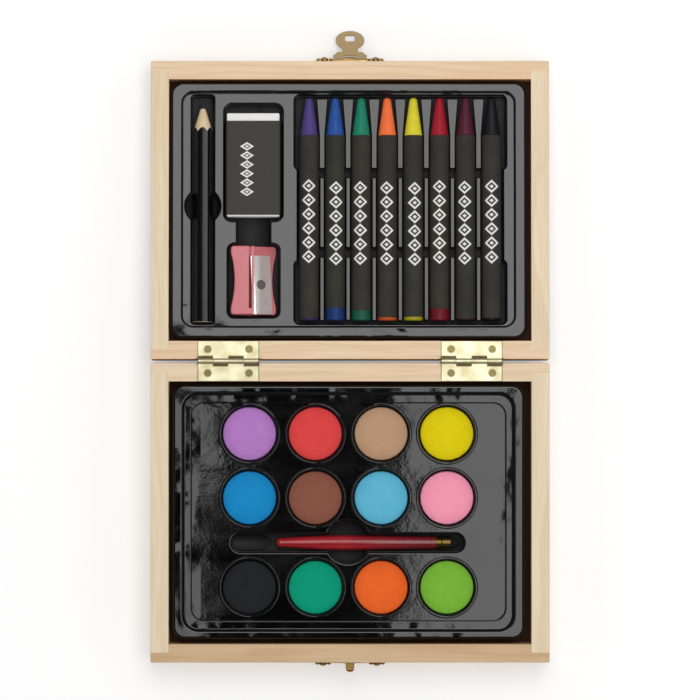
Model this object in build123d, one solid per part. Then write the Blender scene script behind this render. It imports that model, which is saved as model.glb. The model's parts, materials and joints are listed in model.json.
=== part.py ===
from build123d import *
import math
import os

os.makedirs("parts", exist_ok=True)

# Sizes are in millimetres. X runs to the right, Y from the clasp to the hinges, Z up.
# The set lies open: its base stands on Z = 0, and its lid lies behind the base.

# Wooden box
box_width = 160.0
box_depth = 120.0
base_height = 19.0
lid_height = 13.0
panel_thickness = 2.0
side_wall = 7.2
end_wall = 7.3
corner_lip = 4.0
edge_round = 0.5
rim_round = 0.35
rim_gap = 0.1
hinge_gap = 1.6

# Hinges
hinge_spacing = 97.5
leaf_width = 24.7
leaf_on_rim = 7.1
leaf_thickness = 0.6
knuckle_radius = 1.1
hinge_pin_radius = 0.5
running_clearance = 0.05
knuckle_count = 4
knuckle_gap = 0.15
knuckle_notch_clearance = 0.15
leaf_side_clearance = 0.05
leaf_nail_spacing = 16.5
leaf_nail_from_pin = 4.8
leaf_nail_head_radius = 1.25
leaf_nail_shank_radius = 0.55
leaf_nail_length = 6.0
pilot_clearance = 0.05

# Clasp
clasp_sheet = 0.4
flap_sheet = 0.5
clasp_knuckle_radius = 0.95
clasp_pin_radius = 0.45
clasp_knuckle_clearance = 0.1
pivot_below_rim = 7.3
pivot_out = clasp_sheet + clasp_knuckle_clearance + clasp_knuckle_radius
flap_length = 12.9
flap_root_width = 13.7
flap_shoulder = 3.1
flap_neck_width = 6.4
flap_head_width = 11.6
flap_head_length = 8.8
middle_knuckle_width = 4.9
slot_width = 4.0
slot_height = 2.9
slot_from_pivot = 9.4
rosette_radius = 2.5
rosette_lobe_radius = 0.85
rosette_height = 0.9
dome_radius = 1.5
dome_height = 1.1
dome_shank_radius = 0.5
dome_shank_length = 5.5
plate_corner = 1.2
plate_hole_radius = 0.75
clasp_plate_width = 15.6
clasp_plate_height = 7.2
clasp_plate_drop = 4.7
clasp_strap_height = 3.4
clasp_ear_x = 10.3
clasp_ear_z = -3.3
clasp_hole_x = 4.6
clasp_hole_z = -2.6
catch_plate_width = 18.4
catch_plate_height = 5.2
catch_plate_drop = 7.3
catch_step_width = 9.0
catch_step_height = 4.6
catch_step_drop = 5.2
catch_tongue_width = 4.8
catch_tongue_height = 7.0
catch_tongue_drop = 4.2
catch_ear_x = 10.8
catch_ear_z = -7.8
catch_hole_x = 5.6
catch_hole_z = -7.4
hook_width = 3.5
hook_thickness = 0.5
hook_reach = 2.6
hook_curl_radius = 1.05
hook_curl_angle = 110.0

# Formed plastic trays
tray_sheet = 0.6
pocket_draft = 5.0
pocket_round = 0.75
flange_round = 1.1
step_round = 0.65
item_floor = 0.6

# Paint tray in the base
paint_tray_gap_x = 2.25
paint_tray_gap_y = 1.75
paint_tray_shift_x = -0.65
paint_tray_shift_y = 0.2
paint_flange_width = 4.35
paint_flange_depth = 3.55
paint_ledge_width = 3.25
paint_ledge_depth = 3.85
paint_flange_drop = 2.4
paint_step_drop = 1.6
paint_plateau_drop = 1.6
well_depth = 6.4
well_flare = 0.4
well_lip_width = 1.2
well_lip_height = 0.8
well_columns = 4
well_left_margin = 10.7
well_right_margin = 10.85
well_column_gap = 1.45
well_row_gap = 0.8
well_back_margin = -0.35
well_front_margin = 0.65
cake_height = 5.0
cake_clearance = 0.2
cake_edge_round = 0.5
brush_slot_depth = 6.2
brush_slot_clearance = 0.8
brush_slot_back_gap = 1.8
brush_slot_front_gap = 1.6
brush_slot_tail_room = 18.2
brush_slot_tip_room = 1.4
brush_notch_x = -0.9
brush_notch_shift = 0.5
brush_notch_radius = 8.9

# Brush
brush_tail_reach = 28.95
brush_handle_length = 64.2
brush_belly_run = 23.6
brush_tail_radius = 1.9
brush_belly_radius = 3.0
brush_neck_radius = 2.45
ferrule_length = 5.8
ferrule_radius = 2.5
ferrule_wall = 0.25
ferrule_groove = 0.2
brush_spigot_length = 3.0
tuft_length = 4.2
tuft_shoulder = 0.55
strand_pitch = 0.2
strand_radius = 0.1
strand_root = 0.5

# Tool tray in the lid, heights below the rim
tool_tray_gap_x = 1.25
tool_tray_gap_y = 1.1
tool_tray_shift_x = -0.65
tool_tray_shift_front = 0.1
tool_plateau_shift_front = 0.45
tool_flange_width = 5.1
tool_flange_depth = 4.7
tool_flange_drop = 2.4
tool_plateau_drop = 5.0
pocket_front_gap = 0.75
pocket_back_gap = 0.85

# Items in the tool tray, from its left to its right, and from its front to its back
pencil_left_gap = 3.35
pencil_pocket_room = 1.9
pencil_tip_room = 2.8
pencil_end_room = 0.8
pencil_across_flats = 7.0
pencil_lead_radius = 1.05
pencil_cone_length = 12.0
pencil_tip_radius = 0.25
pencil_notch_shift_front = 1.4
pencil_notch_reach = 2.55

eraser_left_gap = 4.2
eraser_pocket_room = 1.7
eraser_pocket_front_gap = 4.25
eraser_front_room = 4.0
eraser_back_room = 1.7
eraser_bare_front = 3.1
eraser_bare_back = 0.6
eraser_sleeve_width = 21.7
eraser_sleeve_height = 9.0
sleeve_thickness = 0.3
eraser_edge_round = 0.6

sharpener_shift_x = 0.1
sharpener_pocket_room = 2.8
sharpener_pocket_back_gap = 3.45
sharpener_end_room = 1.0
sharpener_length = 27.6
sharpener_width = 17.9
sharpener_waist = 15.0
sharpener_height = 9.6
sharpener_hole_radius = 4.1
sharpener_hole_end_radius = 0.6
sharpener_hole_length = 24.0
sharpener_hole_x = -1.3
sharpener_hole_height = 4.85
sharpener_slot_x = -1.15
sharpener_slot_width = 1.2
sharpener_slot_stop = 2.5
blade_tilt = 18.0
blade_length = 24.0
blade_width = 8.0
blade_thickness = 0.6
blade_bevel = 1.2
blade_bite = 0.2
blade_screw_along = 3.6
blade_screw_head_radius = 1.9
blade_screw_radius = 1.0
blade_screw_depth = 2.6
recess_width = 13.2
recess_length = 9.2
recess_bite = 4.0

crayon_count = 8
crayon_left_gap = 4.95
crayon_right_gap = 3.0
crayon_gap = 2.5
crayon_side_room = 1.8
crayon_tip_room = 0.9
crayon_end_room = 1.3
crayon_radius = 4.0
wrapper_thickness = 0.15
crayon_bare_ends = [0.9, 5.2, 4.2, 1.3, 1.5, 4.8, 0.8, 1.0]
crayon_cone_length = 15.3
crayon_cone_radius = 3.6
crayon_tip_radius = 1.5
crayon_waist_from_front = 30.0
crayon_waist_from_back = 25.6
crayon_waist_inset = 1.3
crayon_waist_overlap = 3.0
rib_clearance = 0.15
rib_draft = 3.0
rib_root = 0.2
rib_drop = 5.4
rib_front_room = 1.4
rib_back_room = 1.1
rib_tip_spread = 1.15
rib_first_gap = 31.25
rib_second_gap = 28.85
rib_gap_length = 3.5

# Places that follow from the sizes
half_gap = hinge_gap / 2
base_rim = base_height
axis_y = box_depth / 2 + half_gap
axis_z = base_rim + rim_gap / 2
lid_centre_y = box_depth + hinge_gap
lid_front_y = lid_centre_y + box_depth / 2
lid_outer_z = base_rim - lid_height
item_floor_z = lid_outer_z + panel_thickness + item_floor

# The paint tray's steps, and the wells and the brush's slot that fill its plateau
paint_tray_width = box_width - 2 * (side_wall + paint_tray_gap_x)
paint_tray_depth = box_depth - 2 * (end_wall + paint_tray_gap_y)
paint_flange_inner_width = paint_tray_width - 2 * paint_flange_width
paint_flange_inner_depth = paint_tray_depth - 2 * paint_flange_depth
paint_plateau_width = paint_flange_inner_width - 2 * paint_ledge_width
paint_plateau_depth = paint_flange_inner_depth - 2 * paint_ledge_depth
paint_plateau_left = paint_tray_shift_x - paint_plateau_width / 2
paint_plateau_back = paint_tray_shift_y + paint_plateau_depth / 2
paint_flange_top = base_height - paint_flange_drop
paint_step_top = paint_flange_top - paint_step_drop
paint_plateau_top = paint_step_top - paint_plateau_drop
well_floor = paint_plateau_top - well_depth
brush_slot_floor = paint_plateau_top - brush_slot_depth
brush_slot_width = 2 * (brush_belly_radius + brush_slot_clearance)
well_row_gaps = well_back_margin + well_row_gap + brush_slot_back_gap
well_row_gaps += brush_slot_front_gap + well_front_margin
well_reach = (paint_plateau_depth - brush_slot_width - well_row_gaps) / 6
well_rim_radius = well_reach - well_lip_width
well_floor_radius = well_rim_radius - well_flare
cake_radius = well_floor_radius - cake_clearance
well_back_y = paint_plateau_back - well_back_margin - well_reach
well_middle_y = well_back_y - 2 * well_reach - well_row_gap
brush_y = well_middle_y - well_reach - brush_slot_back_gap - brush_slot_width / 2
well_front_y = brush_y - brush_slot_width / 2 - brush_slot_front_gap - well_reach
well_rows_y = [well_back_y, well_middle_y, well_front_y]

# The columns' gaps share what the wells leave of the plateau's width
well_column_gaps = well_left_margin + well_right_margin + (well_columns - 1) * well_column_gap
well_stretch = (paint_plateau_width - 2 * well_columns * well_reach) / well_column_gaps
well_first_x = paint_plateau_left + well_left_margin * well_stretch + well_reach
well_pitch_x = 2 * well_reach + well_column_gap * well_stretch

brush_tail_x = paint_tray_shift_x - brush_tail_reach
brush_belly_x = brush_tail_x + brush_belly_run
ferrule_start_x = brush_tail_x + brush_handle_length
brush_slot_start = brush_tail_x - brush_slot_tail_room
brush_slot_end = ferrule_start_x + ferrule_length + tuft_length + brush_slot_tip_room

# The tool tray's plateau, with distances from the lid's front face
tool_tray_width = box_width - 2 * (side_wall + tool_tray_gap_x)
tool_tray_depth = box_depth - 2 * (end_wall + tool_tray_gap_y)
tool_tray_centre = box_depth / 2 - tool_tray_shift_front
tool_flange_inner_width = tool_tray_width - 2 * tool_flange_width
tool_flange_inner_depth = tool_tray_depth - 2 * tool_flange_depth
tool_plateau_centre = box_depth / 2 - tool_plateau_shift_front
tool_plateau_front = tool_plateau_centre - tool_flange_inner_depth / 2
tool_plateau_back = tool_plateau_centre + tool_flange_inner_depth / 2
pocket_front = tool_plateau_front + pocket_front_gap
pocket_back = tool_plateau_back - pocket_back_gap

# Across the plateau, the gaps share what the pockets and the crayons leave
pencil_pocket_width = pencil_across_flats + pencil_pocket_room
eraser_pocket_width = eraser_sleeve_width + eraser_pocket_room
crayon_fill = 2 * (crayon_count * crayon_radius + crayon_side_room)
tool_spare = tool_flange_inner_width - pencil_pocket_width - eraser_pocket_width - crayon_fill
tool_gaps = pencil_left_gap + eraser_left_gap + crayon_left_gap + crayon_right_gap
tool_stretch = tool_spare / (tool_gaps + (crayon_count - 1) * crayon_gap)
crayon_spacing = crayon_gap * tool_stretch
crayon_pitch = 2 * crayon_radius + crayon_spacing
pencil_pocket_left = (
    tool_tray_shift_x - tool_flange_inner_width / 2 + pencil_left_gap * tool_stretch
)
pencil_x = pencil_pocket_left + pencil_pocket_width / 2
pencil_notch_radius = pencil_pocket_width / 2 + pencil_notch_reach * tool_stretch
mouth_round = pocket_round * tool_stretch
eraser_pocket_left = pencil_pocket_left + pencil_pocket_width + eraser_left_gap * tool_stretch
eraser_x = eraser_pocket_left + eraser_pocket_width / 2
sharpener_x = eraser_x + sharpener_shift_x
crayon_pocket_left = eraser_pocket_left + eraser_pocket_width + crayon_left_gap * tool_stretch
crayon_pocket_width = crayon_fill + (crayon_count - 1) * crayon_spacing
crayon_pocket_centre = crayon_pocket_left + crayon_pocket_width / 2
crayon_first_x = crayon_pocket_left + crayon_side_room + crayon_radius

# Along the plateau, each item is as long as its pocket lets it be
pencil_tip = pocket_front + pencil_tip_room
pencil_length = pocket_back - pencil_end_room - pencil_tip
pencil_notch_d = (pocket_front + pocket_back) / 2 - pencil_notch_shift_front
sharpener_pocket_width = sharpener_width + sharpener_pocket_room
sharpener_pocket_back = tool_plateau_back - sharpener_pocket_back_gap
sharpener_pocket_front = sharpener_pocket_back - sharpener_length - 2 * sharpener_end_room
sharpener_front = sharpener_pocket_front + sharpener_end_room
eraser_pocket_front = tool_plateau_front + eraser_pocket_front_gap
eraser_pocket_back = sharpener_pocket_front - recess_length
eraser_front = eraser_pocket_front + eraser_front_room
eraser_length = eraser_pocket_back - eraser_back_room - eraser_front
eraser_sleeve_length = eraser_length - eraser_bare_front - eraser_bare_back
crayon_tip = pocket_front + crayon_tip_room
crayon_length = pocket_back - crayon_end_room - crayon_tip
crayon_waist_front = pocket_front + crayon_waist_from_front
crayon_waist_back = pocket_back - crayon_waist_from_back
crayon_waist_width = crayon_pocket_width - 2 * crayon_waist_inset
rib_height = base_rim - rib_drop - item_floor_z
rib_foot = crayon_spacing - 2 * rib_clearance
rib_top = rib_foot - 2 * rib_height * math.tan(math.radians(rib_draft))
rib_breaks = [pocket_front + rib_first_gap, pocket_back - rib_second_gap]
rib_sections = [
    (pocket_front + rib_front_room, rib_breaks[0] - rib_gap_length / 2),
    (rib_breaks[0] + rib_gap_length / 2, rib_breaks[1] - rib_gap_length / 2),
    (rib_breaks[1] + rib_gap_length / 2, pocket_back - rib_back_room),
]

# Open, the lid leans back until its far edge lies on the table
lid_reach = box_depth + half_gap
lid_drop = lid_height + rim_gap / 2
lid_lean = math.degrees(
    math.asin(axis_z / math.hypot(lid_reach, lid_drop)) - math.atan2(lid_drop, lid_reach)
)

# Open, the flap hangs until its tip lies on the table
pivot_y = lid_front_y + pivot_out
pivot_z = base_rim - pivot_below_rim
lean = math.radians(lid_lean)
pivot_height = axis_z - (pivot_y - axis_y) * math.sin(lean) + (pivot_z - axis_z) * math.cos(lean)
flap_under = clasp_knuckle_radius - flap_sheet
flap_open_angle = (
    math.degrees(
        math.acos(-pivot_height / math.hypot(flap_length, flap_under))
        + math.atan2(flap_under, flap_length)
    )
    - lid_lean
)


def leaned(shape):
    """Turns a lid piece from flat to its rest pose about the hinge line."""
    turn = Pos(0, axis_y, axis_z) * Rot(-lid_lean, 0, 0) * Pos(0, -axis_y, -axis_z)
    return turn * shape


def along_x(radius, start, length, y, z):
    """A round bar that runs along X from its start."""
    return Pos(start + length / 2, y, z) * Rot(0, 90, 0) * Cylinder(radius, length)


def block(x_low, x_high, y_low, y_high, z_low, z_high):
    """A box between two corners."""
    size = Box(x_high - x_low, y_high - y_low, z_high - z_low)
    return Pos((x_low + x_high) / 2, (y_low + y_high) / 2, (z_low + z_high) / 2) * size


# Box halves, drawn with the outer panel down and the hinge side at the back


def end_wall_piece(height):
    """A front wall with rebated ends, whose lips cover the side walls' ends."""
    half_width = box_width / 2
    half_depth = box_depth / 2
    wall = block(
        -half_width, half_width, -half_depth, -half_depth + end_wall, panel_thickness, height
    )
    for side in (-1, 1):
        rebate = block(
            -side_wall / 2,
            side_wall / 2,
            -half_depth + corner_lip,
            -half_depth + end_wall,
            panel_thickness,
            height,
        )
        wall -= Pos(side * (half_width - side_wall / 2), 0, 0) * rebate
    outer = wall.edges().filter_by(Axis.Z)
    outer = outer.filter_by_position(Axis.Y, -half_depth - 0.01, -half_depth + 0.01)
    wall = fillet(outer, edge_round)
    top = wall.edges().filter_by_position(Axis.Z, height - 0.01, height + 0.01)
    front = top.filter_by_position(Axis.Y, -half_depth - 0.01, -half_depth + 0.01)
    return fillet(front, rim_round)


def side_wall_piece(height):
    """The left wall, which stands between the front and back lips."""
    half_width = box_width / 2
    half_length = box_depth / 2 - corner_lip
    wall = block(
        -half_width, -half_width + side_wall, -half_length, half_length, panel_thickness, height
    )
    top = wall.edges().filter_by_position(Axis.Z, height - 0.01, height + 0.01)
    outer = top.filter_by_position(Axis.X, -half_width - 0.01, -half_width + 0.01)
    return fillet(outer, rim_round)


def panel_piece():
    """The thin plywood panel that closes one half."""
    panel = extrude(RectangleRounded(box_width, box_depth, edge_round), panel_thickness)
    return fillet(panel.edges().group_by(Axis.Z)[0], rim_round)


half_turn = Rot(0, 0, 180)
lid_place = Pos(0, lid_centre_y, lid_outer_z) * half_turn

# Hinges, drawn with both halves flat


def leaf_nail(x, y):
    """A countersunk nail, flush with the leaf and driven down into the rim."""
    head = Pos(0, 0, -leaf_thickness / 2) * Cone(
        leaf_nail_shank_radius, leaf_nail_head_radius, leaf_thickness
    )
    straight = leaf_nail_length - 1.5
    shank = Pos(0, 0, -straight / 2) * Cylinder(leaf_nail_shank_radius, straight)
    point = Pos(0, 0, -straight - 0.75) * Cone(0.08, leaf_nail_shank_radius, 1.5)
    return Pos(x, y, base_rim) * (head + shank + point)


def leaf_nail_pilot(x, y):
    """The hole in the wood for a leaf nail."""
    depth = leaf_nail_length + 0.3
    hole = Cylinder(leaf_nail_shank_radius + pilot_clearance, depth)
    return Pos(x, y, base_rim - depth / 2) * hole


def leaf_nails(toward_lid):
    """The four leaf nails of one half."""
    side = 1 if toward_lid else -1
    y = axis_y + side * leaf_nail_from_pin
    nails = []
    for hinge in (-1, 1):
        for nail in (-1, 1):
            nails.append((hinge * hinge_spacing / 2 + nail * leaf_nail_spacing / 2, y))
    return nails


def hinge_leaf(hinge_x, toward_lid):
    """One leaf with its half of the knuckles, which alternate with the other leaf's."""
    side = 1 if toward_lid else -1
    start = hinge_x - leaf_width / 2
    reach = half_gap + leaf_on_rim
    edge = axis_y + side * (hinge_pin_radius + running_clearance) / 2
    far = axis_y + side * reach
    low_y, high_y = sorted((edge, far))
    leaf = block(
        start, start + leaf_width, low_y, high_y, base_rim - leaf_thickness, base_rim
    )
    pitch = leaf_width / knuckle_count
    own = 1 if toward_lid else 0
    clear = knuckle_radius + knuckle_notch_clearance
    for index in range(knuckle_count):
        if index % 2 == own:
            tube_start = start + index * pitch + knuckle_gap / 2
            leaf += along_x(knuckle_radius, tube_start, pitch - knuckle_gap, axis_y, axis_z)
        else:
            cut_low, cut_high = sorted((axis_y - side * clear, axis_y + side * clear))
            leaf -= block(
                start + index * pitch - knuckle_gap / 2,
                start + (index + 1) * pitch + knuckle_gap / 2,
                cut_low,
                cut_high,
                base_rim - 2 * leaf_thickness,
                base_rim + leaf_thickness,
            )
    for end in (0, knuckle_count):
        edge_x = start + end * pitch
        cut_low, cut_high = sorted((axis_y, axis_y + side * clear))
        leaf -= block(
            edge_x - knuckle_gap / 2,
            edge_x + knuckle_gap / 2,
            cut_low,
            cut_high,
            base_rim - leaf_thickness,
            base_rim,
        )
    bore = hinge_pin_radius
    if not toward_lid:
        bore += running_clearance
    leaf -= along_x(bore, start - 1, leaf_width + 2, axis_y, axis_z)
    for x, y in leaf_nails(toward_lid):
        if abs(x - hinge_x) < leaf_width / 2:
            leaf -= leaf_nail(x, y)
    return leaf


def hinge_leaf_pair(toward_lid):
    leaves = []
    for side in (-1, 1):
        leaves.append(hinge_leaf(side * hinge_spacing / 2, toward_lid))
    return Compound(leaves)


def hinge_pins():
    pins = []
    length = leaf_width + 0.4
    for side in (-1, 1):
        start = side * hinge_spacing / 2 - length / 2
        pin = along_x(hinge_pin_radius, start, length, axis_y, axis_z)
        pins.append(fillet(pin.edges().filter_by(GeomType.CIRCLE), 0.15))
    return Compound(pins)


def hinge_seats():
    """What the hinges take out of both rims: leaf seats, knuckle notches and pilot holes."""
    seats = []
    reach = half_gap + end_wall + 1
    seat_width = leaf_width + 2 * leaf_side_clearance
    notch_length = leaf_width + 1.4
    for side in (-1, 1):
        x = side * hinge_spacing / 2
        seats.append(
            block(
                x - seat_width / 2,
                x + seat_width / 2,
                axis_y - reach,
                axis_y + reach,
                base_rim - leaf_thickness,
                base_rim + 1,
            )
        )
        notch_radius = knuckle_radius + knuckle_notch_clearance
        seats.append(along_x(notch_radius, x - notch_length / 2, notch_length, axis_y, axis_z))
    for toward_lid in (False, True):
        for x, y in leaf_nails(toward_lid):
            seats.append(leaf_nail_pilot(x, y))
    return seats


# Clasp pieces, drawn with Y out of the wall and Z = 0 at the rim


def wall_plate(sketch, height):
    """A sheet piece that lies on the wall, from a sketch in X and Z."""
    return Rot(90, 0, 0) * extrude(sketch, -height)


def rosette(x, z):
    """A scalloped ear."""
    shape = Circle(rosette_radius)
    for lobe in range(8):
        angle = math.radians(45 * lobe)
        shape += Pos(
            rosette_radius * math.cos(angle), rosette_radius * math.sin(angle)
        ) * Circle(rosette_lobe_radius)
    ear = wall_plate(shape, rosette_height)
    return Pos(x, 0, z) * ear


def dome_nail(x, z):
    """A round-headed nail through an ear into the wood."""
    sphere_radius = (dome_radius**2 + dome_height**2) / (2 * dome_height)
    ball = Pos(0, 0, dome_height - sphere_radius) * Sphere(sphere_radius)
    head = ball & Pos(0, 0, dome_height) * Box(10, 10, 2 * dome_height)
    straight = rosette_height + dome_shank_length - 1.2
    shank = Pos(0, 0, -straight / 2) * Cylinder(dome_shank_radius, straight)
    point = Pos(0, 0, -straight - 0.6) * Cone(0.08, dome_shank_radius, 1.2)
    nail = head + shank + point
    return Pos(x, rosette_height, z) * Rot(-90, 0, 0) * nail


def dome_nail_pilot(x, z):
    depth = dome_shank_length + 0.3
    hole = Cylinder(dome_shank_radius + pilot_clearance, depth)
    return Pos(x, -depth / 2, z) * Rot(90, 0, 0) * hole


def ear_hole(x, z):
    hole = Cylinder(dome_shank_radius, 4)
    return Pos(x, 0, z) * Rot(90, 0, 0) * hole


def plate_hole(x, z):
    """A round hole pierced in a plate for ornament."""
    return Pos(x, 0, z) * Rot(90, 0, 0) * Cylinder(plate_hole_radius, 4)


def clasp_plate():
    """The lid's plate, whose middle knuckle holds the flap's pin."""
    body = Pos(0, -clasp_plate_drop) * RectangleRounded(
        clasp_plate_width, clasp_plate_height, plate_corner
    )
    body += Pos(0, clasp_ear_z) * Rectangle(2 * clasp_ear_x, clasp_strap_height)
    plate = wall_plate(body, clasp_sheet)
    for side in (-1, 1):
        plate += rosette(side * clasp_ear_x, clasp_ear_z)
    half = middle_knuckle_width / 2
    pivot = -pivot_below_rim
    low = pivot - clasp_knuckle_radius
    plate += block(-half, half, 0, pivot_out, low, low + clasp_sheet)
    plate += along_x(clasp_knuckle_radius, -half, 2 * half, pivot_out, pivot)
    plate -= along_x(clasp_pin_radius, -half - 1, 2 * half + 2, pivot_out, pivot)
    for side in (-1, 1):
        plate -= ear_hole(side * clasp_ear_x, clasp_ear_z)
        plate -= plate_hole(side * clasp_hole_x, clasp_hole_z)
    return plate


def flap_outline():
    """The flap from its root along the pin, over its neck, to its oval head."""
    root = flap_root_width / 2
    neck = flap_neck_width / 2
    right = [(root, 0), (root, 1.5), (neck, flap_shoulder), (neck, flap_length / 2)]
    left = [(-x, u) for x, u in reversed(right)]
    foot = make_face(Polyline(right + left, close=True))
    head = Pos(0, flap_length - flap_head_length / 2) * Ellipse(
        flap_head_width / 2, flap_head_length / 2
    )
    face = foot + head
    corners = face.vertices().filter_by_position(Axis.Y, 1.0, flap_length / 2)
    return fillet(corners, 0.6)


def clasp_flap():
    """The flap, drawn latched: it hangs from the pin past the rim, here upwards."""
    outline = flap_outline()
    slot = Pos(0, slot_from_pivot) * RectangleRounded(slot_width, slot_height, 0.9)
    sheet = wall_plate(outline - slot, flap_sheet)
    inner = pivot_out - clasp_knuckle_radius
    flap = Pos(0, inner, -pivot_below_rim) * sheet
    start = middle_knuckle_width / 2 + 0.15
    width = flap_root_width / 2 - start
    for side in (-1, 1):
        low = start if side > 0 else -start - width
        flap += along_x(clasp_knuckle_radius, low, width, pivot_out, -pivot_below_rim)
    clear = clasp_knuckle_radius + 0.25
    flap -= block(
        -start, start, 0, 2 * pivot_out, -pivot_below_rim - clear, -pivot_below_rim + clear
    )
    bore = clasp_pin_radius + running_clearance
    flap -= along_x(bore, -10, 20, pivot_out, -pivot_below_rim)
    return flap


def clasp_pin():
    length = flap_root_width + 0.5
    pin = along_x(clasp_pin_radius, -length / 2, length, pivot_out, -pivot_below_rim)
    return fillet(pin.edges().filter_by(GeomType.CIRCLE), 0.12)


def catch_hook():
    """The tongue that reaches out through the flap's slot and curls up."""
    height = -(slot_from_pivot - pivot_below_rim)
    half = hook_thickness / 2
    centre_z = height + hook_curl_radius
    end = math.radians(hook_curl_angle - 90)
    middle = math.radians(hook_curl_angle / 2 - 90)

    def ring_point(radius, angle):
        return (hook_reach + radius * math.cos(angle), centre_z + radius * math.sin(angle))

    outer = hook_curl_radius + half
    inner = hook_curl_radius - half
    lines = [
        Line((0.1, height - half), (hook_reach, height - half)),
        ThreePointArc(
            (hook_reach, height - half), ring_point(outer, middle), ring_point(outer, end)
        ),
        Line(ring_point(outer, end), ring_point(inner, end)),
        ThreePointArc(
            ring_point(inner, end), ring_point(inner, middle), (hook_reach, height + half)
        ),
        Line((hook_reach, height + half), (0.1, height + half)),
        Line((0.1, height + half), (0.1, height - half)),
    ]
    profile = make_face(Curve() + lines)
    hook = Rot(90, 0, 0) * extrude(profile, hook_width / 2, both=True)
    reach = hook_reach + hook_curl_radius + half
    plan = RectangleRounded(2 * reach, hook_width, hook_width / 2 - 0.05)
    hook &= Pos(0, 0, -flap_length) * extrude(plan, 2 * flap_length)
    return Rot(0, 0, 90) * hook


def catch_plate():
    """The base's plate with its two ears and the hook."""
    body = Pos(0, -catch_plate_drop) * RectangleRounded(
        catch_plate_width, catch_plate_height, plate_corner
    )
    body += Pos(0, -catch_step_drop) * RectangleRounded(catch_step_width, catch_step_height, 1.0)
    body += Pos(0, -catch_tongue_drop) * RectangleRounded(
        catch_tongue_width, catch_tongue_height, 0.8
    )
    plate = wall_plate(body, clasp_sheet)
    for side in (-1, 1):
        plate += rosette(side * catch_ear_x, catch_ear_z)
    plate += catch_hook()
    for side in (-1, 1):
        plate -= ear_hole(side * catch_ear_x, catch_ear_z)
        plate -= plate_hole(side * catch_hole_x, catch_hole_z)
    return plate


on_lid = Pos(0, lid_front_y, base_rim)
on_base = Pos(0, -box_depth / 2, base_rim) * half_turn


# Trays are a mould shape less the same shape grown inwards by the sheet


def pocket(sketch, x, y, top, floor, grow):
    """A drafted pocket: its mouth is the sketch at the top."""
    mouth = offset(sketch, grow) if grow else sketch
    depth = top - floor + grow
    cut = extrude(mouth, -depth, taper=pocket_draft)
    collar = extrude(mouth, 6)
    return Pos(x, y, top) * (cut + collar)


def slab(width, depth, radius, low, high, x, y, grow):
    """A rounded slab, smaller by the sheet all round when it is the tray's inside."""
    face = RectangleRounded(width - 2 * grow, depth - 2 * grow, radius - grow / 2)
    return Pos(x, y, low) * extrude(face, high - grow - low)


def opened(width, depth, radius, floor, x, y, grow):
    """The room above a step, larger by the sheet all round for the tray's inside."""
    face = RectangleRounded(width + 2 * grow, depth + 2 * grow, radius + grow)
    return Pos(x, y, floor - grow) * extrude(face, 20)


def softened(tray, level, radius):
    """Rounds every edge at one level."""
    rims = tray.edges().filter_by_position(Axis.Z, level - 0.01, level + 0.01)
    return fillet(rims, radius)


def softened_mouths(tray, level, radius, x, y, width, depth):
    """Rounds the pocket mouths at one level, but not the foot of the wall round them."""
    rims = tray.edges().filter_by_position(Axis.Z, level - 0.01, level + 0.01)

    def inside(edge):
        bounds = edge.bounding_box()
        reach_x = max(abs(bounds.min.X - x), abs(bounds.max.X - x))
        reach_y = max(abs(bounds.min.Y - y), abs(bounds.max.Y - y))
        flat = bounds.size.Z < 0.01
        return flat and reach_x < width / 2 - 0.3 and reach_y < depth / 2 - 0.3

    mouths = rims.filter_by(inside)
    return fillet(mouths, radius)


def well_centres():
    centres = []
    for y in well_rows_y:
        for column in range(well_columns):
            centres.append((well_first_x + column * well_pitch_x, y))
    return centres


def paint_tray_mould(grow):
    low = panel_thickness - (1 if grow else 0)
    x = paint_tray_shift_x
    y = paint_tray_shift_y
    mould = slab(paint_tray_width, paint_tray_depth, 5, low, paint_flange_top, x, y, grow)
    mould -= opened(
        paint_flange_inner_width, paint_flange_inner_depth, 6, paint_step_top, x, y, grow
    )
    mould -= opened(paint_plateau_width, paint_plateau_depth, 5, paint_plateau_top, x, y, grow)
    if not grow:
        mould = softened(mould, paint_flange_top, flange_round)
        mould = softened(mould, paint_step_top, step_round)
    top = paint_plateau_top
    rim_radius = well_rim_radius + grow
    floor_radius = well_floor_radius + grow
    depth = top - well_floor + grow
    for cx, cy in well_centres():
        if not grow:
            lip_radius = well_rim_radius + well_lip_width
            lip = Pos(0, 0, well_lip_height / 2) * Cylinder(lip_radius, well_lip_height)
            mould += Pos(cx, cy, top) * fillet(lip.edges().group_by(Axis.Z)[-1], 0.5)
        well = Pos(0, 0, -depth / 2) * Cone(floor_radius, rim_radius, depth)
        if not grow:
            well += Pos(0, 0, 3) * Cylinder(rim_radius, 6)
        mould -= Pos(cx, cy, top) * well
    if not grow:
        lip_top = top + well_lip_height
        rims = mould.edges().filter_by_position(Axis.Z, lip_top - 0.01, lip_top + 0.01)
        inner = rims.filter_by(lambda edge: abs(edge.radius - well_rim_radius) < 0.05)
        mould = fillet(inner, 0.45)
    slot_length = brush_slot_end - brush_slot_start
    slot_x = (brush_slot_start + brush_slot_end) / 2
    slot = pocket(
        SlotOverall(slot_length, brush_slot_width), slot_x, brush_y, top, brush_slot_floor, grow
    )
    notch_y = brush_y + brush_notch_shift
    notch = pocket(
        Circle(brush_notch_radius), brush_notch_x, notch_y, top, brush_slot_floor, grow
    )
    mould -= slot + notch
    if not grow:
        rims = mould.edges().filter_by_position(Axis.Z, top - 0.01, top + 0.01)
        reach = brush_notch_radius + brush_notch_shift
        near = rims.filter_by_position(Axis.Y, brush_y - reach, brush_y + reach + 0.4)
        mould = fillet(near, pocket_round)
    return mould


def paint_tray():
    return paint_tray_mould(0) - paint_tray_mould(tray_sheet)


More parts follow.
